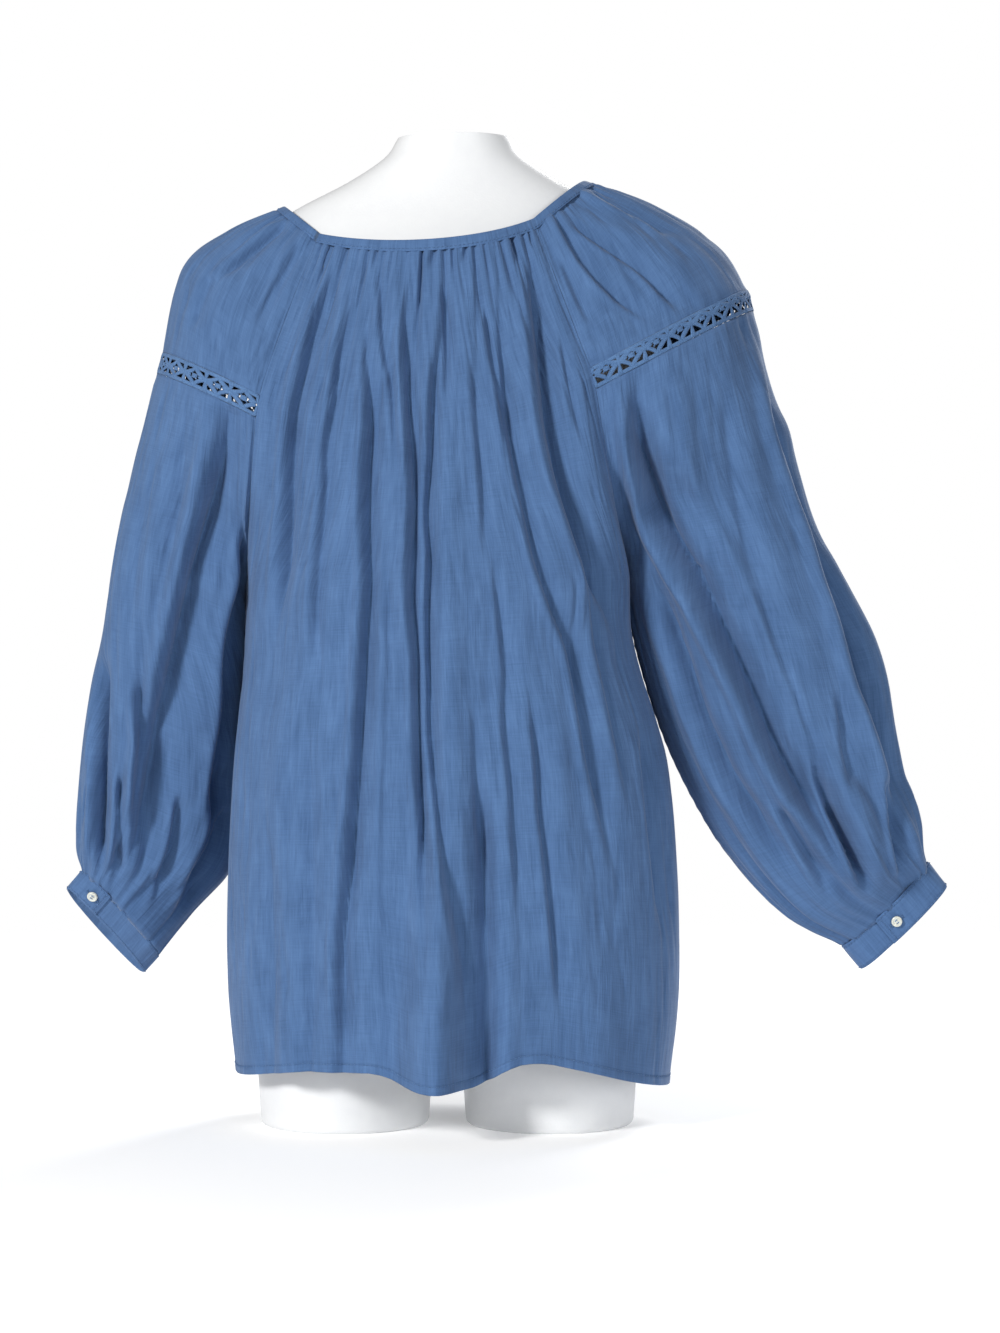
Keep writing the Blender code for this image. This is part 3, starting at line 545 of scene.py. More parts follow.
RIGHT_SLEEVE_BACK = (
    Crease(((-.1445, .612), (-.1487, .5475), (-.166, .490), (-.1865, .4538), (-.206, .419), (-.2233, .3844),
            (-.2407, .3497), (-.2545, .315), (-.2719, .2838), (-.2927, .2525), (-.3101, .2178),
            (-.3270, .1762)), .0150, .016, .35, .5),
    Crease(((-.176, .555), (-.186, .515), (-.208, .465), (-.240, .405), (-.268, .345), (-.292, .290),
            (-.318, .240), (-.335, .200)), .0090, .034, .1, .0),
    Crease(((-.160, .450), (-.1737, .4028), (-.1871, .3683), (-.1985, .3317), (-.2124, .3021),
            (-.2238, .2773), (-.2371, .2611), (-.2557, .2292), (-.2755, .1950)), .0105, .013, .3),
    Crease(((-.2500, .655), (-.2617, .6012), (-.2641, .5684), (-.2737, .5449), (-.2805, .5216),
            (-.2945, .4864), (-.3041, .4511), (-.3182, .4137), (-.333, .3593), (-.3445, .3317),
            (-.3559, .3021), (-.3639, .2702), (-.365, .2453), (-.3716, .2000)), .0110, .013, .2, .4),
    Crease(((-.2700, .360), (-.2805, .3317), (-.292, .3093), (-.2954, .270)), .0040, .009),
    Crease(((-.3100, .355), (-.3149, .3135), (-.3201, .270)), .0035, .009),
    Crease(((-.2900, .290), (-.3125, .2406), (-.324, .2133), (-.3384, .178)), .0090, .010),
    Crease(((-.300, .262), (-.318, .228), (-.333, .190)), .0075, .009),
    Crease(((-.349, .285), (-.3610, .225), (-.3700, .180)), .0085, .010),
    Crease(((-.170, .600), (-.178, .540), (-.190, .480)), .0030, .012, .0),
    Crease(((-.215, .600), (-.222, .530), (-.238, .460), (-.252, .410)), .0030, .013, .0),
    Crease(((-.2580, .265), (-.285, .220), (-.308, .178)), .0075, .010),
    Crease(((-.240, .440), (-.262, .380), (-.276, .345)), .0040, .010),
)
RIGHT_SLEEVE_FRONT = (
    Crease(((-.160, .520), (-.190, .440), (-.222, .370), (-.255, .310), (-.290, .250), (-.330, .190)), .0100, .014),
    Crease(((-.225, .540), (-.258, .460), (-.288, .380), (-.320, .300), (-.350, .220)), .0080, .012),
    Crease(((-.165, .420), (-.190, .350), (-.222, .290), (-.260, .230), (-.300, .185)), .0070, .011),
    Crease(((-.290, .420), (-.325, .340), (-.350, .280), (-.370, .210)), .0060, .010),
)
LEFT_TOP = (
    Crease(((.1307, .7364), (.1535, .7157), (.1712, .7022), (.1927, .6822)), .0040, .010),
    Crease(((.122, .715), (.136, .690), (.150, .665), (.160, .640)), .0025, .009),
    Crease(((.195, .690), (.205, .665), (.212, .640)), .0025, .012),
)
RIGHT_TOP = (
    Crease(((-.0784, .7420), (-.1001, .6985), (-.1185, .675), (-.1392, .659), (-.160, .642)), .0040, .009),
    Crease(((-.0878, .7350), (-.1146, .7143), (-.1466, .694), (-.1673, .6709), (-.1836, .6500)), .0040, .010),
    Crease(((-.1039, .7600), (-.1300, .7480), (-.1578, .7349), (-.178, .718)), .0030, .009),
    Crease(((-.0850, .700), (-.0990, .665), (-.110, .640)), .0030, .009),
)


@dataclass(frozen=True)
class Gathers:
    """Small pleats that run from a gathered seam into the cloth.

    Attributes:
        count: how many lie side by side in the piece's width.
        depth: depth of a usual one.
        reach: shortest and longest length.
        seed: seed of their unevenness.
    """

    count: int
    depth: float
    reach: tuple[float, float]
    seed: int

    def press(self, turns: Grid, away: Grid) -> Grid:
        """How far each point moves outward.

        Args:
            turns: places across the piece, by column.
            away: each row's distance from the gathered seam.

        Returns:
            A grid of moves.
        """
        rng = np.random.default_rng(self.seed)
        pitch = 2 / self.count
        total = np.zeros((len(away), len(turns)))
        for k in range(self.count):
            place = -1 + (k + 0.5 + rng.uniform(-0.48, 0.48)) * pitch
            depth = self.depth * rng.uniform(0.15, 1.5)
            reach = self.reach[0] + (self.reach[1] - self.reach[0]) * rng.uniform(0, 1) ** 1.7
            run = np.clip(away / reach, 0, 1)[:, None]
            drift = rng.uniform(-0.7, 0.7) * pitch * run
            width = pitch * rng.uniform(0.26, 0.62) * (1 + 0.6 * run)
            near = np.abs(turns[None, :] - place - drift) / width
            total -= depth * (1 - smooth(run, 0.3, 1)) * np.clip(1 - near, 0, 1) ** 1.3
        return total + 0.3 * self.depth * (1 - smooth(away, 0, sum(self.reach) / 2))[:, None]


@dataclass(frozen=True)
class Crinkle:
    """The fine uneven wrinkles that crinkled cotton keeps along its threads.

    Attributes:
        count: number of short wrinkles.
        depth: depth of a usual one.
        seed: seed of their places.
    """

    count: int
    depth: float
    seed: int

    def press(self, across: Grid, down: Grid) -> Grid:
        """How far each point moves outward.

        Args:
            across: flat places of the columns.
            down: flat places of the rows.

        Returns:
            A grid of moves.
        """
        rng = np.random.default_rng(self.seed)
        total = np.zeros((len(down), len(across)))
        for _ in range(self.count):
            x = rng.uniform(across.min(), across.max())
            y = rng.uniform(down.min(), down.max())
            length, width = rng.uniform(0.012, 0.07), rng.uniform(0.0028, 0.0070)
            depth, bend = self.depth * rng.uniform(0.3, 1.2), rng.uniform(-0.25, 0.25)
            run = (down - y) / length
            rows = np.abs(run) < 1
            off = (across[None, :] - x - bend * (down[rows, None] - y)) / width
            total[rows] -= depth * hump(run[rows])[:, None] * np.clip(1 - np.abs(off), 0, 1) ** 1.3
        for _ in range(14):
            wave, turn = rng.uniform(35, 110), rng.uniform(-0.5, 0.5)
            total += 0.00028 * np.cos(wave * (across[None, :] * math.cos(turn) + down[:, None] * math.sin(turn) * 0.4)
                                      + rng.uniform(0, 6.28))
        return total


def clear_of_form(points: Grid, margin: float = 0.0016) -> Grid:
    """Cloth points moved just clear of the dress form where they would dip into it.

    Args:
        points: grid of points in the rows' own frame.
        margin: least distance from the form.

    Returns:
        The grid, with those points moved out.
    """
    rings = np.array([along(FORM_RINGS, i / 4) for i in range(4 * (len(FORM_RINGS) - 1) + 1)])
    z = points[..., 2]
    width, back, front = (np.interp(z, rings[:, 0], rings[:, k]) + margin for k in (1, 2, 3))
    lean = FORM_LEAN * (1 - z / FORM_RINGS[-1][0])
    x, y = points[..., 0] - lean, points[..., 1]
    inside = np.sqrt((x / width) ** 2 + (y / np.where(y > 0, back, front)) ** 2)
    push = np.where((inside < 1) & (z < FORM_RINGS[-1][0]), 1 / np.maximum(inside, 0.5), 1.0)
    out = points.copy()
    out[..., 0] = x * push + lean
    out[..., 1] = y * push
    return out


# ---------------------------------------------------------------- shader graph

class Value:
    """A shader socket that takes part in arithmetic."""

    def __init__(self, graph: "Graph", socket: bpy.types.NodeSocket) -> None:
        """Wrap one output socket of a graph."""
        self.graph = graph
        self.socket = socket

    def math(self, operation: str, *others: Number) -> "Value":
        """A Math node on this value and others."""
        return self.graph.node("ShaderNodeMath", {"operation": operation},
                               dict(enumerate((self, *others))))

    def __add__(self, other: Number) -> "Value":
        """Sum."""
        return self.math("ADD", other)

    __radd__ = __add__

    def __mul__(self, other: Number) -> "Value":
        """Product."""
        return self.math("MULTIPLY", other)

    __rmul__ = __mul__

    def __sub__(self, other: Number) -> "Value":
        """Difference."""
        return self.math("SUBTRACT", other)

    def __rsub__(self, other: Number) -> "Value":
        """Difference, from a number."""
        return self * -1.0 + other

    def __pow__(self, other: Number) -> "Value":
        """Power."""
        return self.math("POWER", other)

    def ramp(self, low: float, high: float) -> "Value":
        """0 below low, 1 above high, straight between."""
        return self.graph.node("ShaderNodeMapRange", {"clamp": True},
                               {"Value": self, "From Min": low, "From Max": high})


class Graph:
    """One material's nodes, round a Principled shader."""

    def __init__(self, name: str) -> None:
        """Start a material of that name."""
        self.material = bpy.data.materials.new(name)
        self.material.use_nodes = True
        self.tree = self.material.node_tree
        self.shader = self.tree.nodes["Principled BSDF"]

    def node(self, kind: str, settings: dict | None = None, values: dict | None = None,
             output: int | str = 0) -> Value:
        """Add a node.

        Args:
            kind: the node's type.
            settings: its properties, set first.
            values: numbers or links for its input sockets.
            output: the output that is wanted.

        Returns:
            That output.
        """
        node = self.tree.nodes.new(kind)
        for key, setting in (settings or {}).items():
            setattr(node, key, setting)
        for key, value in (values or {}).items():
            self.feed(node.inputs[key], value)
        return Value(self, node.outputs[output])

    def feed(self, socket: bpy.types.NodeSocket, value: "Number | tuple") -> None:
        """Link a value to a socket, or set the socket to a number or colour."""
        if isinstance(value, Value):
            self.tree.links.new(value.socket, socket)
        else:
            socket.default_value = value

    def flat(self) -> tuple[Value, Value]:
        """The cloth's flat coordinates in metres: across, and along its length."""
        place = self.node("ShaderNodeUVMap", {"uv_map": "flat"})
        split = {"Vector": place}
        return (self.node("ShaderNodeSeparateXYZ", None, split, "X"),
                self.node("ShaderNodeSeparateXYZ", None, split, "Y"))

    def solid(self) -> Value:
        """The surface's place in the part, in metres."""
        return self.node("ShaderNodeTexCoord", None, None, "Object")

    def noise(self, x: Number, y: Number, detail: float = 2.0, warp: float = 0.0) -> Value:
        """Noise over two stretched flat coordinates, about 0 to 1."""
        place = self.node("ShaderNodeCombineXYZ", None, {"X": x, "Y": y})
        return self.node("ShaderNodeTexNoise", None, {"Vector": place, "Scale": 1.0, "Detail": detail,
                                                      "Distortion": warp})

    def grain(self, scale: float, detail: float = 2.0) -> Value:
        """Noise of the part's own space."""
        return self.node("ShaderNodeTexNoise", None,
                         {"Vector": self.solid(), "Scale": scale, "Detail": detail})

    def blend(self, share: Number, first: tuple, second: "tuple | Value") -> Value:
        """A colour between two others."""
        return self.node("ShaderNodeMix", {"data_type": "RGBA"},
                         {0: share, 6: first, 7: second}, 2)

    def dress(self, colour: "Value | tuple", roughness: Number, height: Value | None = None,
              relief: float = 0.001, **constants: "float | tuple") -> bpy.types.Material:
        """Feed the shader.

        Args:
            colour: base colour.
            roughness: roughness.
            height: bump height, 0 to 1.
            relief: what a height of 1 stands for, in metres.
            constants: other sockets of the shader, by name with _ for spaces.

        Returns:
            The material.
        """
        self.feed(self.shader.inputs["Base Color"], colour)
        self.feed(self.shader.inputs["Roughness"], roughness)
        if height is not None:
            bump = self.node("ShaderNodeBump", None, {"Height": height, "Distance": relief, "Strength": 1.0})
            self.feed(self.shader.inputs["Normal"], bump)
        for name, value in constants.items():
            self.shader.inputs[name.replace("_", " ")].default_value = value
        return self.material


def rgb(red: float, green: float, blue: float) -> tuple[float, float, float, float]:
    """A colour with full alpha."""
    return (red, green, blue, 1.0)


@dataclass(frozen=True)
class CrinkledCotton:
    """Thin crinkled cotton with long slubs, dyed a dusty blue.

    Attributes:
        name: the material's name.
        deep: colour between the threads.
        pale: colour of the raised threads.
        relief: height of the crinkle.
    """

    name: str = "crinkled_cotton"
    deep: tuple = rgb(0.036, 0.079, 0.178)
    pale: tuple = rgb(0.084, 0.167, 0.338)
    relief: float = 0.0011

    def material(self) -> bpy.types.Material:
        """Build the material."""
        g = Graph(self.name)
        across, down = g.flat()
        crinkle = g.noise(across * 150.0, down * 20.0, 4.0, 0.6)
        slub = g.noise(across * 900.0, down * 38.0, 2.0)
        weft = g.noise(across * 40.0, down * 1100.0, 1.0)
        cloud = g.noise(across * 34.0, down * 22.0, 3.0, 0.8)
        tone = (crinkle * 0.36 + slub * 0.30 + weft * 0.20 + cloud * 0.26 - 0.06).ramp(0.28, 0.74)
        height = crinkle + slub * 0.16 + weft * 0.10
        return g.dress(g.blend(tone, self.deep, self.pale), 0.95 - tone * 0.14, height, self.relief,
                       Sheen_Weight=0.12, Sheen_Roughness=0.5, Specular_IOR_Level=0.18)


@dataclass(frozen=True)
class LaceThread:
    """Matt twisted cotton thread, a shade lighter than the cloth."""

    name: str = "lace_thread"
    deep: tuple = rgb(0.040, 0.092, 0.210)
    pale: tuple = rgb(0.105, 0.205, 0.390)
    twist: float = 1500.0

    def material(self) -> bpy.types.Material:
        """Build the material."""
        g = Graph(self.name)
        thread = g.grain(self.twist, 2.0)
        tone = (thread * 0.8 + g.grain(90.0) * 0.4 - 0.1).ramp(0.25, 0.75)
        return g.dress(g.blend(tone, self.deep, self.pale), 0.94 - tone * 0.1, thread, 0.0004,
                       Sheen_Weight=0.1, Specular_IOR_Level=0.2)


@dataclass(frozen=True)
class PearlShell:
    """Pale shell with a cloudy, faintly banded gloss."""

    name: str = "pearl_shell"
    warm: tuple = rgb(0.50, 0.49, 0.41)
    cool: tuple = rgb(0.60, 0.64, 0.61)

    def material(self) -> bpy.types.Material:
        """Build the material."""
        g = Graph(self.name)
        cloud = g.grain(420.0, 3.0)
        tone = (cloud + g.grain(1500.0) * 0.3 - 0.15).ramp(0.3, 0.7)
        return g.dress(g.blend(tone, self.warm, self.cool), 0.16 + tone * 0.16, cloud, 0.0001,
                       Coat_Weight=0.4, Coat_Roughness=0.1)


@dataclass(frozen=True)
class MouldedPlastic:
    """White moulded plastic with a satin skin and faint rubbing."""

    name: str = "moulded_plastic"
    white: tuple = rgb(0.70, 0.71, 0.72)
    rubbed: tuple = rgb(0.65, 0.66, 0.68)

    def material(self) -> bpy.types.Material:
        """Build the material."""
        g = Graph(self.name)
        rub = (g.grain(9.0, 4.0) * 0.7 + g.grain(140.0, 3.0) * 0.3).ramp(0.35, 0.75)
        skin = g.grain(520.0, 2.0)
        return g.dress(g.blend(rub, self.white, self.rubbed), 0.34 + rub * 0.14, skin, 0.00008,
                       Specular_IOR_Level=0.45)


@dataclass(frozen=True)
class PaleFloor:
    """A plain pale studio floor that thins out into the white surroundings."""

    name: str = "pale_floor"
    fade: tuple[float, float] = (0.7, 2.0)
    glow: float = 0.22
    colour: tuple = rgb(0.93, 0.93, 0.93)
    worn: tuple = rgb(0.90, 0.90, 0.905)

    def material(self) -> bpy.types.Material:
        """Build the material."""
        g = Graph(self.name)
        wear = g.grain(3.0, 3.0)
        away = g.node("ShaderNodeVectorMath", {"operation": "LENGTH"}, {0: g.solid()}, "Value")
        g.feed(g.shader.inputs["Alpha"], 1.0 - away.ramp(*self.fade))
        return g.dress(g.blend(wear, self.colour, self.worn), 0.7 + wear * 0.1, Specular_IOR_Level=0.2,
                       Emission_Color=rgb(1.0, 1.0, 1.0), Emission_Strength=self.glow)


@dataclass
class Finishes:
    """Every finish, made once."""

    cotton: bpy.types.Material = field(default_factory=lambda: CrinkledCotton().material())
    lace: bpy.types.Material = field(default_factory=lambda: LaceThread().material())
    pearl: bpy.types.Material = field(default_factory=lambda: PearlShell().material())
    plastic: bpy.types.Material = field(default_factory=lambda: MouldedPlastic().material())
    floor: bpy.types.Material = field(default_factory=lambda: PaleFloor().material())


# ---------------------------------------------------------------- meshes

def add_piece(name: str, mesh: bpy.types.Mesh, material: bpy.types.Material, slot: Slot | None,
              *replaced: str) -> bpy.types.Object:
    """Put a mesh into the scene as a piece of the part.

    Args:
        name: the piece's name.
        mesh: its mesh.
        material: its finish.
        slot: the record's slot for that finish; only whether it is given is read: a piece with one is attached to the
            part's body.
        replaced: CAD nodes that it stands for.

    Returns:
        The piece.
    """
    piece = bpy.data.objects.new(name, mesh)
    bpy.context.scene.collection.objects.link(piece)
    mesh.materials.append(material)
    mesh.shade_smooth()
    if slot is not None:
        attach(piece, BODY)
    if replaced:
        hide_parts(*replaced)
    return piece


def grid_mesh(name: str, grid: Grid, flat: tuple[Grid, Grid], ring: bool = False) -> bpy.types.Mesh:
    """A mesh over a grid of points, with its flat coordinates.

    Args:
        name: the mesh's name.
        grid: rows of points.
        flat: across and down coordinates, each as big as the grid.
        ring: whether the last column joins the first.

    Returns:
        The mesh.
    """
    rows, columns = grid.shape[:2]
    index = np.arange(rows * columns).reshape(rows, columns)
    flat = tuple(flat)
    if ring:
        index = np.hstack([index, index[:, :1]])
    faces = np.stack([index[:-1, :-1], index[1:, :-1], index[1:, 1:], index[:-1, 1:]], -1).reshape(-1, 4)
    mesh = bpy.data.meshes.new(name)
    mesh.from_pydata((grid + SHIFT).reshape(-1, 3).tolist(), [], faces.tolist())
    layer = mesh.uv_layers.new(name="flat")
    places = np.stack([np.broadcast_to(part, (rows, columns)) for part in flat], -1).reshape(-1, 2)
    loops = np.empty(len(mesh.loops), int)
    mesh.loops.foreach_get("vertex_index", loops)
    layer.data.foreach_set("uv", places[loops].astype(np.float32).ravel())
    mesh.update()
    return mesh


def thicken(piece: bpy.types.Object, wall: float) -> None:
    """Give a sheet a wall on its inner side."""
    solid = piece.modifiers.new("Wall", 'SOLIDIFY')
    solid.thickness = wall
    solid.offset = -1.0
    solid.use_rim = True


class Strands:
    """Round or flattened threads that are gathered into one mesh."""

    def __init__(self) -> None:
        """Start with no thread."""
        self.points: list = []
        self.faces: list = []

    def add(self, path: Grid, up: Grid, width: Grid, height: Grid, closed: bool = False,
            sides: int = 6) -> None:
        """Add one thread.

        Args:
            path: points along it.
            up: the surface's normal at each of them.
            width: half width at each.
            height: half height at each.
            closed: whether it joins its own start.
            sides: number of sides of its section.
        """
        if closed:
            run = np.roll(path, -1, axis=0) - np.roll(path, 1, axis=0)
        else:
            run = np.gradient(path, axis=0)
        beside = unit(np.cross(run, up))
        above = unit(np.cross(beside, run))
        count, first = len(path), len(self.points)
        for k in range(sides):
            turn = 2 * math.pi * k / sides
            ring = (path + beside * (np.asarray(width) * math.cos(turn)).reshape(-1, 1)
                    + above * (np.asarray(height) * math.sin(turn)).reshape(-1, 1))
            self.points += [tuple(point) for point in ring + SHIFT]
        for i in range(count if closed else count - 1):
            j = (i + 1) % count
            for k in range(sides):
                n = (k + 1) % sides
                self.faces.append((first + k * count + i, first + n * count + i,
                                   first + n * count + j, first + k * count + j))
        if not closed:
            self.faces.append(tuple(first + k * count for k in reversed(range(sides))))
            self.faces.append(tuple(first + k * count + count - 1 for k in range(sides)))

    def mesh(self, name: str) -> bpy.types.Mesh:
        """The threads so far, as one mesh."""
        mesh = bpy.data.meshes.new(name)
        mesh.from_pydata(self.points, [], self.faces)
        mesh.update()
        return mesh

    def stitch(self, line: Grid, up: Grid, length: float = 0.0024, gap: float = 0.0011,
               radius: float = 0.00028) -> None:
        """Add a row of straight stitches that lie on a line.

        Args:
            line: points along the seam.
            up: normals there.
            length: length of one stitch.
            gap: room between two stitches.
            radius: radius of the thread.
        """
        run = np.concatenate([[0], np.cumsum(np.linalg.norm(np.diff(line, axis=0), axis=1))])
        place = gap
        while place + length < run[-1]:
            at = np.linspace(place, place + length, 3)
            points = np.stack([np.interp(at, run, line[:, k]) for k in range(3)], -1)
            normal = unit(np.stack([np.interp(at, run, up[:, k]) for k in range(3)], -1))
            lift = np.array([0.0, 1.1, 0.0]).reshape(-1, 1) * radius
            self.add(points + normal * lift, normal, np.full(3, radius), np.full(3, radius), sides=5)
            place += length + gap


# ---------------------------------------------------------------- panels

@dataclass
class BodyPanel:
    """The back or the front, gathered into the neck binding.

    Attributes:
        face: back or front.
        creases: its main creases.
        flares: its broad outward folds.
        columns: columns of its mesh.
        rows: rows of its mesh above the hem.
        flat_width: width of the cloth at the hem, as cut; not used.
        wall: thickness of the cloth.
        hem_height: height of the turned hem.
    """

    face: Face
    creases: tuple[Crease, ...]
    flares: tuple[Flare, ...]
    columns: int
    rows: int
    gathers: Gathers
    crinkle: Crinkle
    flat: tuple[float, float]
    area: float
    wall: float = 0.0006
    hem_height: float = 0.007
    seam_groove: float = 0.0005

    def build(self, finishes: Finishes) -> tuple[bpy.types.Object, bpy.types.Object]:
        """Make the panel and its hem stitching.

        Args:
            finishes: the finishes.

        Returns:
            The panel and its stitches.
        """
        turns = np.linspace(1, -1, self.columns + 1)
        low = PATTERN.hem - np.array([0.13, 0.118, 0.108, 0.100, 0.092, 0.05, 0.012, 0.0])
        stations = np.concatenate([np.linspace(0.10, 1.2, self.rows // 4)[:-1],
                                   np.linspace(1.2, low[0], self.rows - self.rows // 4), low[1:]])
        grid = np.array([PATTERN.body_row(s, self.face, turns) for s in stations])
        down = np.concatenate([[0], np.cumsum(np.linalg.norm(np.diff(grid[:, self.columns // 2], axis=0), axis=1))])
        half = np.linalg.norm(np.diff(grid, axis=1), axis=2).sum(axis=1) / 2
        across = turns * half.max()
        x, z = grid[..., 0], grid[..., 2]
        move = sum(fold.press(x, z) for fold in self.creases + self.flares)
        edge = (1 - np.abs(turns))[None, :] * half[:, None]
        move = move * smooth(edge, 0.0, 0.030) * smooth(stations, 0.14, 0.7)[:, None]
        move += self.gathers.press(turns, down) * smooth(edge, 0, 0.006)
        move += self.crinkle.press(across, down) * smooth(stations, 0.14, 0.5)[:, None]
        move += 0.0003 * np.sin(down * 700)[:, None] * hump(edge / 0.014)
        move -= self.seam_groove * hump(edge / 0.0045 - 0.6)
        move *= smooth(edge, 0.0, 0.0025)
        move[stations < 0.16] -= 0.0008
        from_hem = (down[-1] - down)[:, None]
        move += 0.0005 * (from_hem < self.hem_height) - 0.0004 * hump((from_hem - self.hem_height) / 0.0012)
        grid = clear_of_form(grid + normals_of(grid) * move[..., None])
        name = self.face.value
        piece = add_piece(name + "_cloth", grid_mesh(name, grid, (across[None, :], down[:, None])),
                          finishes.cotton, Slot.COTTON, name)
        thicken(piece, self.wall)
        row = len(stations) - 4
        stitches = Strands()
        stitches.stitch(grid[row, 3:-3], normals_of(grid)[row, 3:-3])
        thread = add_piece(name + "_hem_stitches", stitches.mesh(name + "_hem_stitches"),
                           finishes.lace, Slot.LACE)
        return piece, thread


@dataclass
class SleevePanel:
    """The top of a sleeve, above its lace, or the sleeve below it.

    Attributes:
        side: which sleeve.
        name: the CAD node that it stands for.
        span: first and last station.
        back: creases on its back side.
        front: creases on its front side.
        size: rows and columns of its mesh.
        neck: gathers at its upper end.
        wrist: gathers at its lower end.
    """

    side: Side
    name: str
    span: tuple[float, float]
    back: tuple[Crease, ...]
    front: tuple[Crease, ...]
    size: tuple[int, int]
    neck: Gathers
    wrist: Gathers | None
    crinkle: Crinkle
    flat: tuple[float, float]
    area: float
    wall: float = 0.0006

    def build(self, finishes: Finishes, extras: tuple[bpy.types.Object, ...] = ()) -> bpy.types.Object:
        """Make the panel.

        Args:
            finishes: the finishes.
            extras: pieces that lie on this one; not used.

        Returns:
            The panel.
        """
        rows, columns = self.size
        turns = np.linspace(1, -1, columns + 1)
        stations = np.linspace(*self.span, rows + 1)
        grid = np.array([PATTERN.sleeve_row(self.side, s, turns) for s in stations])
        middle = grid[:, columns // 2]
        down = np.concatenate([[0], np.cumsum(np.linalg.norm(np.diff(middle, axis=0), axis=1))])
        half = np.linalg.norm(np.diff(grid, axis=1), axis=2).sum(axis=1) / 2
        across = turns * half.max()
        x, z = grid[..., 0], grid[..., 2]
        backness = (turns if self.side is Side.RIGHT else -turns)[None, :]
        move = sum(fold.press(x, z) for fold in self.back) * smooth(backness, -0.10, 0.06)
        if self.front:
            move = move + sum(fold.press(x, z) for fold in self.front) * smooth(-backness, -0.10, 0.06)
        edge = (1 - np.abs(turns))[None, :] * half[:, None]
        move = move * smooth(edge, 0.0, 0.012)
        move += self.neck.press(turns, down) * smooth(edge, 0, 0.006)
        if self.wrist:
            end = down[-1] - down
            move *= (0.15 + 0.85 * smooth(end, 0, 0.035))[:, None]
            move += self.wrist.press(turns, end) * (0.35 + 0.65 * smooth(end, 0, 0.02))[:, None]
        move += self.crinkle.press(across, down)
        calm = smooth(down if self.wrist else down[-1] - down, 0.0, 0.007)
        move *= (0.15 + 0.85 * calm)[:, None]
        move += 0.0003 * np.sin(down * 700)[:, None] * hump(edge / 0.014)
        move -= 0.0005 * hump(edge / 0.0045 - 0.6)
        move *= smooth(edge, 0.0, 0.0025)
        if self.span[0] < 1:
            move[stations < 0.16] -= 0.0008
        grid = clear_of_form(grid + normals_of(grid) * move[..., None])
        if self.wrist:
            middle = grid[-1].mean(axis=0)
            tongue = middle + (grid[-1] - middle) * 0.94 + np.array(CUFF_RUNS[self.side]) * 0.14
            grid = np.concatenate([grid, tongue[None]])
            down = np.append(down, down[-1] + 0.004)
        piece = add_piece(self.name + "_cloth", grid_mesh(self.name, grid, (across[None, :], down[:, None])),
                          finishes.cotton, Slot.COTTON, self.name)
        thicken(piece, self.wall)
        return piece


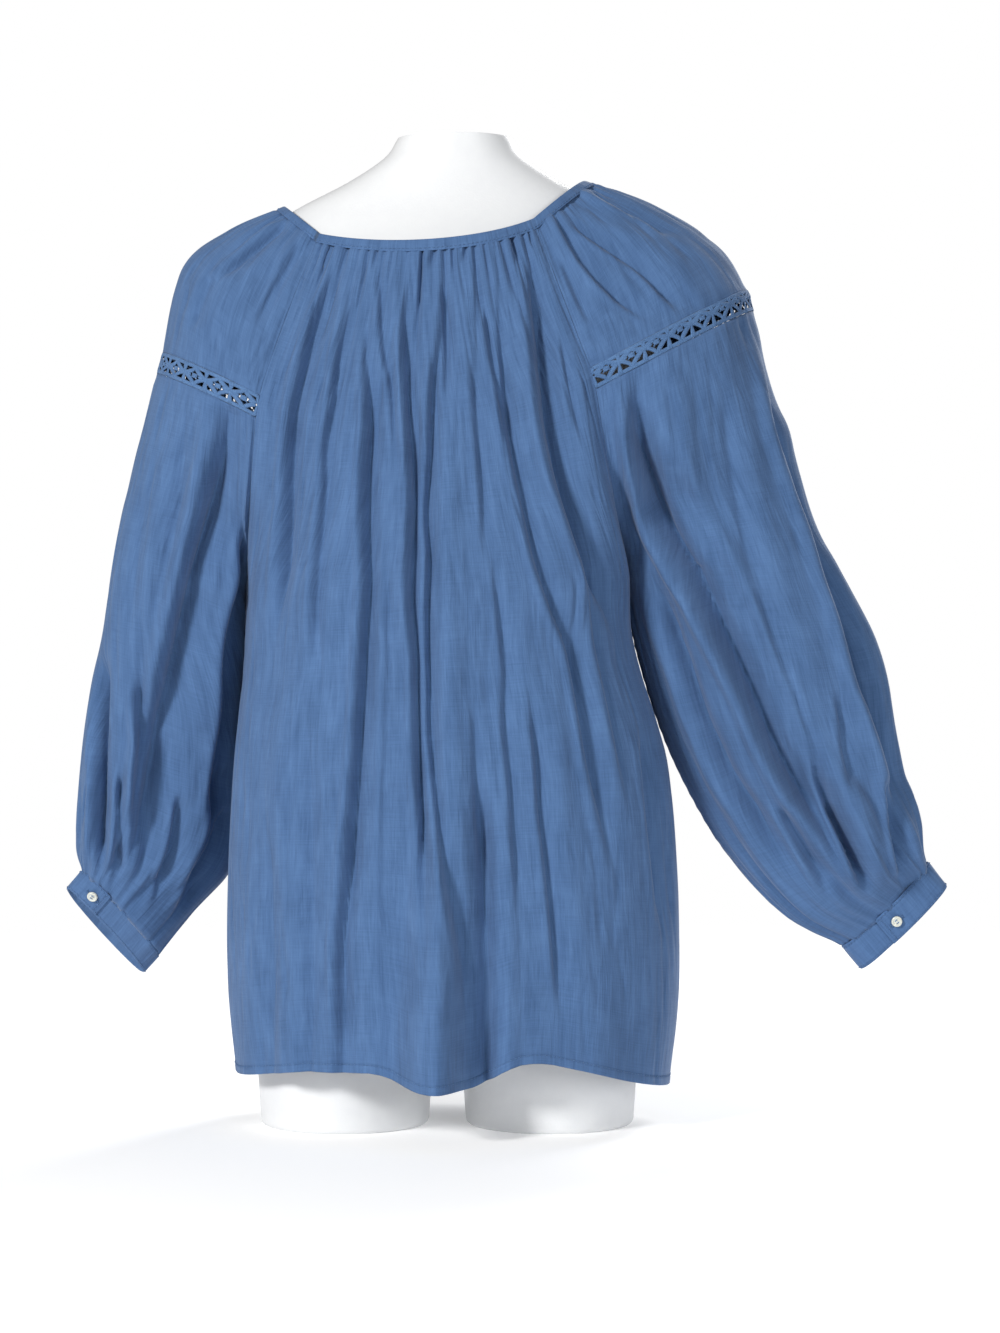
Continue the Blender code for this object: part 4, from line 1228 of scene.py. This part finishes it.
@dataclass
class LaceBand:
    """An openwork band: a lattice of diamonds between two edge tapes, a rosette in each.

    Attributes:
        side: which sleeve it is let into.
        pitch: length of one diamond.
        frame: half width of the diamonds' thread.
        rosette: radius of a rosette's middle line.
        petal: half width of its thread.
        tape: half width of an edge tape.
        sheet: half height of every thread.
    """

    side: Side
    pitch: float = 0.0235
    frame: float = 0.0019
    rosette: float = 0.0015
    petal: float = 0.0013
    tape: float = 0.0017
    sheet: float = 0.0005

    def build(self, finishes: Finishes) -> bpy.types.Object:
        """Make the band from its threads."""
        name = "lace_" + self.side.value
        turns = np.linspace(1, -1, 241)
        rows = np.array([PATTERN.sleeve_row(self.side, s, turns)
                         for s in np.linspace(PATTERN.lace_top, PATTERN.lace_end, 7)])
        normals = normals_of(rows)
        middle = rows[3]
        self.run = np.concatenate([[0], np.cumsum(np.linalg.norm(np.diff(middle, axis=0), axis=1))])
        self.rows, self.normals = rows, normals
        self.height = np.linalg.norm(rows[-1] - rows[0], axis=1).mean()
        strands = Strands()
        length = self.run[-1]
        line = np.linspace(0.001, length - 0.001, 260)
        for level in (0.5 * self.tape, self.height - 0.5 * self.tape):
            self.thread_on(strands, line, np.full(260, level), self.tape, 0.0003)
        count = max(int(round(length / self.pitch)), 1)
        pitch = length / count
        rng = np.random.default_rng(11 if self.side is Side.LEFT else 12)
        swing = (self.height / 2 - self.frame * 0.4) * 2 / math.pi * np.arcsin(np.sin(math.pi * line / pitch))
        swing *= 0.93 + 0.07 * np.abs(np.cos(math.pi * line / pitch))
        for way in (-1, 1):
            self.thread_on(strands, line, self.height / 2 + way * swing, self.frame, self.sheet)
        for k in range(count):
            self.motif(strands, (k + 0.5) * pitch, pitch, rng)
        piece = add_piece(name + "_openwork", strands.mesh(name), finishes.lace, Slot.LACE, name)
        return piece

    def thread_on(self, strands: Strands, s: Grid, h: Grid, width: "float | Grid", height: float,
                  closed: bool = False) -> None:
        """Lay one thread on the band.

        Args:
            strands: where it is added.
            s: its places along the band.
            h: its places down the band.
            width: half width.
            height: half height.
            closed: whether it is a loop.
        """
        share = np.clip(h / self.height, -0.2, 1.2) * (len(self.rows) - 1)
        below = np.clip(share.astype(int), 0, len(self.rows) - 2)
        f = (share - below)[:, None]
        column = np.interp(s, self.run, np.arange(len(self.run)))
        left = np.clip(column.astype(int), 0, len(self.run) - 2)
        g = (column - left)[:, None]

        def at(source: Grid) -> Grid:
            """Blend the four grid points round each place."""
            return ((source[below, left] * (1 - g) + source[below, left + 1] * g) * (1 - f)
                    + (source[below + 1, left] * (1 - g) + source[below + 1, left + 1] * g) * f)

        up = unit(at(self.normals))
        strands.add(at(self.rows) + up * 0.0001, up, np.broadcast_to(width, s.shape),
                    np.full(len(s), height), closed)

    def motif(self, strands: Strands, s: float, pitch: float, rng: np.random.Generator) -> None:
        """Fill one diamond with its rosette and leaves, and the notches beside it.

        Args:
            strands: where the threads are added.
            s: the diamond's middle along the band.
            pitch: the diamond's length.
            rng: source of its unevenness.
        """
        mid, step = self.height / 2, np.linspace(0, 1, 7)
        turn = np.linspace(0, 2 * math.pi, 18, endpoint=False)
        wobble = 1 + 0.10 * np.sin(turn * 3 + rng.uniform(0, 6))
        self.thread_on(strands, s + self.rosette * 1.25 * wobble * np.cos(turn),
                       mid + self.rosette * wobble * np.sin(turn), self.petal, self.sheet, True)
        for side in (-1, 1):
            leaf = 0.0040 + (pitch / 2 - 0.0055) * step
            self.thread_on(strands, s + side * leaf, np.full(7, mid), 0.0004 + 0.0011 * np.sin(math.pi * step),
                           self.sheet)
            for way in (-1, 1):
                slant = math.radians(48 + rng.uniform(-6, 6))
                spoke = 0.0024 + 0.0022 * step
                self.thread_on(strands, s + side * spoke * math.cos(slant), mid + way * spoke * math.sin(slant),
                               0.0005, self.sheet)
                notch = 0.0010 + (mid - 0.0012) * step
                lean = side * (pitch / 2 + 0.0004) + rng.uniform(-0.0003, 0.0003)
                self.thread_on(strands, s + lean - side * 0.0016 * step, mid + way * notch,
                               0.0007 + 0.0009 * step, self.sheet)


@dataclass
class NeckBinding:
    """The narrow bound edge that the whole neckline is gathered into.

    Attributes:
        outside: how far it stands out of the cloth's face.
        inside: how far it reaches behind it.
        section: number of points round its section.
    """

    outside: float = 0.0007
    inside: float = 0.0020
    section: int = 14

    def build(self, finishes: Finishes) -> bpy.types.Object:
        """Make the binding and its edge stitching."""
        loops = []
        for station in (0.0, PATTERN.binding_end):
            loops.append(np.concatenate([
                PATTERN.body_row(station, Face.BACK, np.linspace(1, -1, 91))[:-1],
                PATTERN.sleeve_row(Side.RIGHT, station, np.linspace(1, -1, 51))[:-1],
                PATTERN.body_row(station, Face.FRONT, np.linspace(1, -1, 91))[:-1],
                PATTERN.sleeve_row(Side.LEFT, station, np.linspace(1, -1, 51))[:-1]]))
        top, low = loops
        run = np.roll(top, -1, axis=0) - np.roll(top, 1, axis=0)
        out = unit(np.cross(low - top, run))
        rng = np.random.default_rng(5)
        count = len(top)
        pucker = sum(rng.uniform(0.3, 1) * np.sin(np.arange(count) * wave + rng.uniform(0, 6))
                     for wave in (0.9, 1.3, 1.9, 0.35))
        rows = []
        for k in range(self.section):
            turn = 2 * math.pi * k / self.section
            level = 0.5 - 0.52 * np.sign(math.cos(turn)) * abs(math.cos(turn)) ** 0.45
            push = math.sin(turn)
            push = push * (self.outside if push > 0 else self.inside)
            edge = 1 - 0.35 * abs(2 * level - 1) ** 4
            rows.append(top + (low - top) * level + out * (push * edge + 0.00011 * pucker * (level ** 2))[:, None])
        grid = np.array(rows)[::-1]
        grid = np.concatenate([grid, grid[:1]])
        flat = (np.linspace(0, 0.78, count)[None, :], np.linspace(0, 0.022, len(grid))[:, None])
        mesh = grid_mesh("neck_binding", grid, flat, ring=True)
        piece = add_piece("neck_binding_cloth", mesh, finishes.cotton, Slot.COTTON, "neck_binding")
        stitches = Strands()
        line = top + (low - top) * 0.80 + out * self.outside * 0.92
        stitches.stitch(np.concatenate([line, line[:1]]), np.concatenate([out, out[:1]]))
        thread = add_piece("neck_binding_stitches", stitches.mesh("neck_binding_stitches"), finishes.lace, Slot.LACE)
        return piece


@dataclass
class Cuff:
    """A buttoned cuff: a strip round the wrist whose end laps over its start.

    Attributes:
        side: which wrist.
        run: from the sleeve's last ring to the cuff's lower edge.
        button_angle: from the cuff's outer edge to its button, in degrees.
    """

    side: Side
    run: tuple[float, float, float]
    button_angle: float
    seam: float = 0.0014
    overlap: float = 0.55
    wall: float = 0.0014
    columns: int = 150
    rows: int = 14

    def point(self, angle: Grid, fall: float, tuck: Grid | float = 0.0) -> tuple[Grid, Grid]:
        """Points of the cuff and the directions out of it.

        Args:
            angle: angles from the cuff's outer edge towards the back.
            fall: 0 at the sleeve, 1 at the lower edge.
            tuck: how far the points lie in.

        Returns:
            The points and the outward directions.
        """
        row, inner, _, outer = PATTERN.sleeve_shape(self.side, PATTERN.hem)
        half, depth = (outer - inner) / 2, PATTERN.sleeve_depth(self.side, PATTERN.hem)
        angle = np.atleast_1d(angle)[:, None]
        reach = np.where(np.sin(angle) > 0, row["depth_back"], row["depth_front"])
        radial = half * np.cos(angle) + depth * reach * np.sin(angle)
        outward = unit(half / np.dot(half, half) * np.cos(angle) + depth / reach * np.sin(angle))
        run = np.array(self.run)
        lip = self.seam / np.linalg.norm(run)
        points = (inner + outer) / 2 + run * (lip + fall * (1 - lip)) + radial
        return points - outward * np.asarray(tuck).reshape(-1, 1), outward

    def build(self, finishes: Finishes) -> bpy.types.Object:
        """Make the cuff, its stitching, its button and the button's thread."""
        name = "cuff_" + self.side.value
        button = math.radians(self.button_angle)
        start, length = button - self.overlap / 2, 2 * math.pi + self.overlap
        turn = np.linspace(0, length, self.columns + 1)
        tuck = 0.0022 * (1 - smooth(turn, self.overlap, self.overlap + 0.6))
        rng = np.random.default_rng(21 if self.side is Side.LEFT else 22)
        phases = rng.uniform(0, 6.28, 3)
        rows, outs = [], []
        for fall in np.linspace(0, 1, self.rows + 1):
            ripple = 0.00030 * sum(np.sin(turn * wave + phase + fall * 2)
                                   for wave, phase in zip((5.0, 9.0, 17.0), phases)) * (1.15 - fall)
            rim = 0.0005 * (hump(fall / 0.12) + hump((1 - fall) / 0.12))
            points, out = self.point(start + turn, fall, tuck + rim - ripple)
            rows.append(points)
            outs.append(out)
        grid, out = np.array(rows), np.array(outs)
        across = np.broadcast_to(turn * 0.033, grid.shape[:2])
        down = np.broadcast_to(np.linspace(0, 0.025, self.rows + 1)[:, None], grid.shape[:2])
        stitches = Strands()
        for row in (1, self.rows - 1):
            stitches.stitch(grid[row] + out[row] * 0.0003, out[row])
        stitches.stitch(grid[1:-1, -3] + out[1:-1, -3] * 0.0003, out[1:-1, -3])
        if self.side is Side.RIGHT:
            grid, across, down = grid[:, ::-1], across[:, ::-1], down[:, ::-1]
        piece = add_piece(name + "_cloth", grid_mesh(name, grid, (across, down)), finishes.cotton,
                          Slot.COTTON, name)
        thicken(piece, self.wall)
        bevel = piece.modifiers.new("Soft_edge", 'BEVEL')
        bevel.width = 0.0004
        bevel.segments = 2
        bevel.limit_method = 'ANGLE'
        bevel.angle_limit = math.radians(50)
        shell = ShirtButton(self.side)
        centre, outward = (part[0] for part in self.point(np.array([button]), 0.5))
        beside = self.point(np.array([button + 0.05]), 0.5)[0][0] - self.point(np.array([button - 0.05]), 0.5)[0][0]
        shell.buttonhole(stitches, centre, unit(beside), outward)
        thread = add_piece(name + "_stitches", stitches.mesh(name + "_stitches"), finishes.lace, Slot.LACE)
        shell.build(finishes, centre, unit(np.array(self.run)), outward)
        return piece


@dataclass
class ShirtButton:
    """A turned shell button with a dished face and four holes, sewn on with thread.

    Attributes:
        side: the cuff that it closes.
        radius: its radius.
        height: its height.
        profile: (radius, height) of its turned section, as shares of the two.
    """

    side: Side
    radius: float = 0.0045
    height: float = 0.0024
    lift: float = 0.0005
    hole: float = 0.00065
    offset: float = 0.0012
    profile: tuple = ((0.0, 0.0), (0.86, 0.0), (0.97, 0.12), (1.0, 0.32), (1.0, 0.55), (0.97, 0.78),
                      (0.90, 0.94), (0.81, 1.0), (0.72, 0.98), (0.62, 0.86), (0.52, 0.78), (0.0, 0.76))

    def axes(self, along_arm: Grid, outward: Grid) -> tuple[Grid, Grid, Grid]:
        """The button's two flat axes and its axis outward."""
        up = unit(outward - along_arm * float(np.dot(outward, along_arm)))
        return along_arm, np.cross(up, along_arm), up

    def buttonhole(self, stitches: Strands, centre: Grid, beside: Grid, outward: Grid) -> None:
        """Add the satin stitches of the buttonhole, across the lap."""
        side = unit(np.cross(outward, beside))
        for place in np.linspace(-0.0066, 0.0066, 30):
            for edge in (-1, 1):
                inner, outer = edge * 0.0002, edge * 0.0013
                ends = centre + beside * place + outward * 0.0004
                path = np.array([ends + side * inner, ends + side * (inner + outer) / 2 + outward * 0.0002,
                                 ends + side * outer])
                stitches.add(path, np.tile(outward, (3, 1)), np.full(3, 0.00022), np.full(3, 0.00022), sides=5)

    def build(self, finishes: Finishes, centre: Grid, along_arm: Grid, outward: Grid) -> bpy.types.Object:
        """Turn the button, drill it and sew it on.

        Args:
            finishes: the finishes.
            centre: the place on the cuff under it.
            along_arm: unit vector down the arm.
            outward: unit vector out of the cuff.

        Returns:
            The button.
        """
        name = "button_" + self.side.value
        first, second, up = self.axes(along_arm, outward)
        base = centre + up * self.lift
        count = 48
        angle = np.linspace(0, 2 * math.pi, count, endpoint=False)
        rows = [base + self.radius * r * (np.outer(np.cos(angle), first) + np.outer(np.sin(angle), second))
                + up * (self.height * h) for r, h in self.profile[1:-1]]
        points = np.concatenate([*rows, [base], [base + up * self.height * self.profile[-1][1]]]) + SHIFT
        faces, rings = [], len(rows)
        for i in range(rings - 1):
            for k in range(count):
                n = (k + 1) % count
                faces.append((i * count + k, i * count + n, (i + 1) * count + n, (i + 1) * count + k))
        for k in range(count):
            n = (k + 1) % count
            faces.append((n, k, rings * count))
            faces.append(((rings - 1) * count + k, (rings - 1) * count + n, rings * count + 1))
        mesh = bpy.data.meshes.new(name)
        mesh.from_pydata(points.tolist(), [], faces)
        mesh.update()
        piece = add_piece(name + "_shell", mesh, finishes.pearl, Slot.PEARL, name)
        drills = Strands()
        thread = Strands()
        for i in (-1, 1):
            for j in (-1, 1):
                at = base + first * (i * self.offset) + second * (j * self.offset)
                path = np.array([at - up * 0.002, at + up * 0.005])
                drills.add(path, np.tile(first, (2, 1)), np.full(2, self.hole), np.full(2, self.hole), sides=16)
            turn = np.linspace(0, math.pi, 9)
            ends = base + first * (i * self.offset)
            path = (ends + np.outer(np.cos(turn) * self.offset, second)
                    + np.outer(self.height * (0.45 + 0.5 * np.sin(turn) ** 0.5), up))
            thread.add(path, np.tile(up, (9, 1)), np.full(9, 0.00034), np.full(9, 0.00034), sides=6)
        drill = bpy.data.objects.new(name + "_drill", drills.mesh(name + "_drill"))
        bpy.context.scene.collection.objects.link(drill)
        cut = piece.modifiers.new("Holes", 'BOOLEAN')
        cut.operation, cut.solver, cut.object = 'DIFFERENCE', 'EXACT', drill
        bake_modifiers(piece)
        bpy.data.objects.remove(drill, do_unlink=True)
        add_piece(name + "_thread", thread.mesh(name + "_thread"), finishes.lace, Slot.LACE)
        return piece


def bake_modifiers(piece: bpy.types.Object) -> None:
    """Turn a piece's modifiers into its mesh."""
    graph = bpy.context.evaluated_depsgraph_get()
    mesh = bpy.data.meshes.new_from_object(piece.evaluated_get(graph))
    piece.modifiers.clear()
    piece.data = mesh
    smooth_by_angle(piece)


def smooth_by_angle(piece: bpy.types.Object, degrees: float = 40.0) -> None:
    """Shade a mesh smooth, but for its sharp edges."""
    piece.data.shade_smooth()
    piece.data.set_sharp_from_angle(angle=math.radians(degrees))


@dataclass
class DressForm:
    """The plain torso form and the two cut-off thighs that it stands on.

    Attributes:
        columns: columns of its mesh.
        steps: rings between two rows of its table.
        thigh_top: height at which a thigh ends inside the torso.
        spread: from the form's middle to a thigh's axis.
        radius: a thigh's half width and half depth.
    """

    columns: int = 96
    steps: int = 5
    thigh_top: float = 0.100
    spread: float = 0.0835
    radius: tuple[float, float] = (0.069, 0.074)
    growth: float = 0.005
    setback: float = 0.008

    def ring(self, centre: tuple[float, float], width: float, back: float, front: float, z: float) -> Grid:
        """One closed ring of points."""
        turn = np.linspace(0, 2 * math.pi, self.columns, endpoint=False)
        depth = np.where(np.sin(turn) > 0, back, front)
        return np.stack([centre[0] + width * np.cos(turn), centre[1] + depth * np.sin(turn),
                         np.full(self.columns, z)], -1)

    def loft(self, name: str, rings: list[Grid]) -> bpy.types.Mesh:
        """A closed mesh over rings, with a flat cap at both ends."""
        count, faces = self.columns, [tuple(reversed(range(self.columns)))]
        for i in range(len(rings) - 1):
            for k in range(count):
                n = (k + 1) % count
                faces.append((i * count + k, i * count + n, (i + 1) * count + n, (i + 1) * count + k))
        faces.append(tuple(range((len(rings) - 1) * count, len(rings) * count)))
        mesh = bpy.data.meshes.new(name)
        mesh.from_pydata((np.concatenate(rings) + SHIFT).tolist(), [], faces)
        mesh.update()
        return mesh

    def build(self, finishes: Finishes) -> bpy.types.Object:
        """Make the form: torso and thighs joined into one skin."""
        rings = []
        for i in range((len(FORM_RINGS) - 1) * self.steps + 1):
            z, width, back, front = along(FORM_RINGS, i / self.steps)
            rings.append(self.ring((FORM_LEAN * (1 - z / FORM_RINGS[-1][0]), 0.0), width, back, front, z))
        torso = add_piece("dress_form_shell", self.loft("dress_form_shell", rings), finishes.plastic,
                          Slot.PLASTIC, "dress_form")
        thighs = []
        for sign in (-1, 1):
            centre = (FORM_LEAN + sign * self.spread, self.setback)
            rings = []
            for z, shrink in ((0.0, 0.003), (0.0015, 0.0012), (0.004, 0.0004), (0.010, 0.0),
                              (0.050, -self.growth / 2), (self.thigh_top, -self.growth)):
                width, depth = self.radius[0] - shrink, self.radius[1] - shrink
                rings.append(self.ring(centre, width, depth, depth, z))
            thigh = bpy.data.objects.new("thigh", self.loft("thigh", rings))
            bpy.context.scene.collection.objects.link(thigh)
            thighs.append(thigh)
            join = torso.modifiers.new("Thigh", 'BOOLEAN')
            join.operation, join.solver, join.object = 'UNION', 'EXACT', thigh
        bake_modifiers(torso)
        for thigh in thighs:
            bpy.data.objects.remove(thigh, do_unlink=True)
        return torso


# ---------------------------------------------------------------- studio

@dataclass
class Studio:
    """A plain pale floor, soft light and a level camera behind the wearer.

    Attributes:
        floor_size: half the floor's side.
        world: brightness of the white surroundings.
        distance: from the camera to the garment's middle plane.
        focal: lens length over sensor height.
        aim: the point at the centre of view, in the rows' own frame.
    """

    floor_size: float = 4.0
    world: float = 0.27
    distance: float = 2.6
    focal: float = 2.6 / 0.00082 / 1333
    aim: tuple[float, float, float] = (-0.037, 0.0, 0.372)

    def light(self, name: str, place: tuple[float, float, float], size: float, power: float,
              colour: tuple[float, float, float]) -> None:
        """Add a soft square light that faces the blouse."""
        lamp = bpy.data.lights.new(name, 'AREA')
        lamp.shape, lamp.size, lamp.energy, lamp.color = 'SQUARE', size, power, colour
        item = bpy.data.objects.new(name, lamp)
        item.location = place
        item.rotation_euler = (Vector((0.0, 0.0, 0.42)) - item.location).to_track_quat('-Z', 'Y').to_euler()
        bpy.context.scene.collection.objects.link(item)

    def build(self, finishes: Finishes) -> None:
        """Set up the floor, the surroundings, the lights and the camera."""
        half = self.floor_size
        mesh = bpy.data.meshes.new("floor")
        mesh.from_pydata([(-half, -half, 0), (half, -half, 0), (half, half, 0), (-half, half, 0)], [], [(0, 1, 2, 3)])
        add_piece("floor", mesh, finishes.floor, None)
        world = bpy.data.worlds.new("studio")
        world.use_nodes = True
        tree = world.node_tree
        soft = tree.nodes["Background"]
        soft.inputs["Color"].default_value = rgb(1.0, 1.0, 1.0)
        soft.inputs["Strength"].default_value = self.world
        seen = tree.nodes.new("ShaderNodeBackground")
        seen.inputs["Color"].default_value = rgb(1.0, 1.0, 1.0)
        seen.inputs["Strength"].default_value = 1.0
        choice, path = tree.nodes.new("ShaderNodeMixShader"), tree.nodes.new("ShaderNodeLightPath")
        tree.links.new(path.outputs["Is Camera Ray"], choice.inputs[0])
        tree.links.new(soft.outputs[0], choice.inputs[1])
        tree.links.new(seen.outputs[0], choice.inputs[2])
        tree.links.new(choice.outputs[0], tree.nodes["World Output"].inputs["Surface"])
        bpy.context.scene.world = world
        self.light("key", (2.0, 2.4, 1.6), 0.50, 104.0, (1.0, 0.99, 0.97))
        self.light("fill", (-1.6, 2.8, 1.0), 1.2, 33.0, (0.96, 0.98, 1.0))
        self.light("front_side", (-1.6, -2.6, 2.0), 1.6, 115.0, (1.0, 1.0, 1.0))
        bpy.context.scene.view_settings.view_transform = 'Standard'
        camera = bpy.data.cameras.new("camera")
        camera.sensor_fit = 'VERTICAL'
        camera.sensor_height = 24.0
        camera.lens = 24.0 * self.focal
        item = bpy.data.objects.new("camera", camera)
        item.location = Vector(tuple(np.array(self.aim) + SHIFT)) + Vector((0, self.distance, 0))
        item.location.y = self.distance + SHIFT[1]
        item.rotation_euler = (math.pi / 2, 0.0, math.pi)
        bpy.context.scene.collection.objects.link(item)
        bpy.context.scene.camera = item


def main() -> None:
    """Build every piece in the order in which it is sewn, and report each."""
    logging.basicConfig(level=logging.INFO, format="%(name)s: %(message)s")
    finishes = Finishes()
    Studio().build(finishes)
    DressForm().build(finishes)
    LOG.info("dress form")
    BodyPanel(Face.BACK, BACK_CREASES, BACK_FLARES, 300, 148, Gathers(27, 0.0036, (0.015, 0.16), 3),
              Crinkle(280, 0.0013, 7), (0.56, 0.70), 0.29).build(finishes)
    BodyPanel(Face.FRONT, FRONT_CREASES, FRONT_FLARES, 240, 128, Gathers(27, 0.0036, (0.015, 0.15), 4),
              Crinkle(230, 0.0013, 8), (0.56, 0.67), 0.28).build(finishes)
    LOG.info("body panels")
    for side, top, back, front, button_angle, seed in (
            (Side.LEFT, LEFT_TOP, LEFT_SLEEVE_BACK, LEFT_SLEEVE_FRONT, 48, 30),
            (Side.RIGHT, RIGHT_TOP, RIGHT_SLEEVE_BACK, RIGHT_SLEEVE_FRONT, 92, 40)):
        lace = LaceBand(side).build(finishes)
        SleevePanel(side, "sleeve_top_" + side.value, (0.10, PATTERN.lace_top), top, (), (60, 150),
                    Gathers(16, 0.0022, (0.02, 0.09), seed), None, Crinkle(60, 0.0012, seed + 1),
                    (0.33, 0.18), 0.045).build(finishes, (lace,))
        SleevePanel(side, "sleeve_" + side.value, (PATTERN.lace_end, PATTERN.hem), back, front, (120, 200),
                    Gathers(14, 0.0010, (0.01, 0.05), seed + 2), Gathers(26, 0.0048, (0.035, 0.13), seed + 3),
                    Crinkle(190, 0.0013, seed + 4), (0.44, 0.50), 0.20).build(finishes)
        Cuff(side, CUFF_RUNS[side], button_angle).build(finishes)
        LOG.info("%s sleeve, lace, cuff and button", side.value)
    NeckBinding().build(finishes)
    LOG.info("neck binding")


if __name__ == "__main__":
    main()
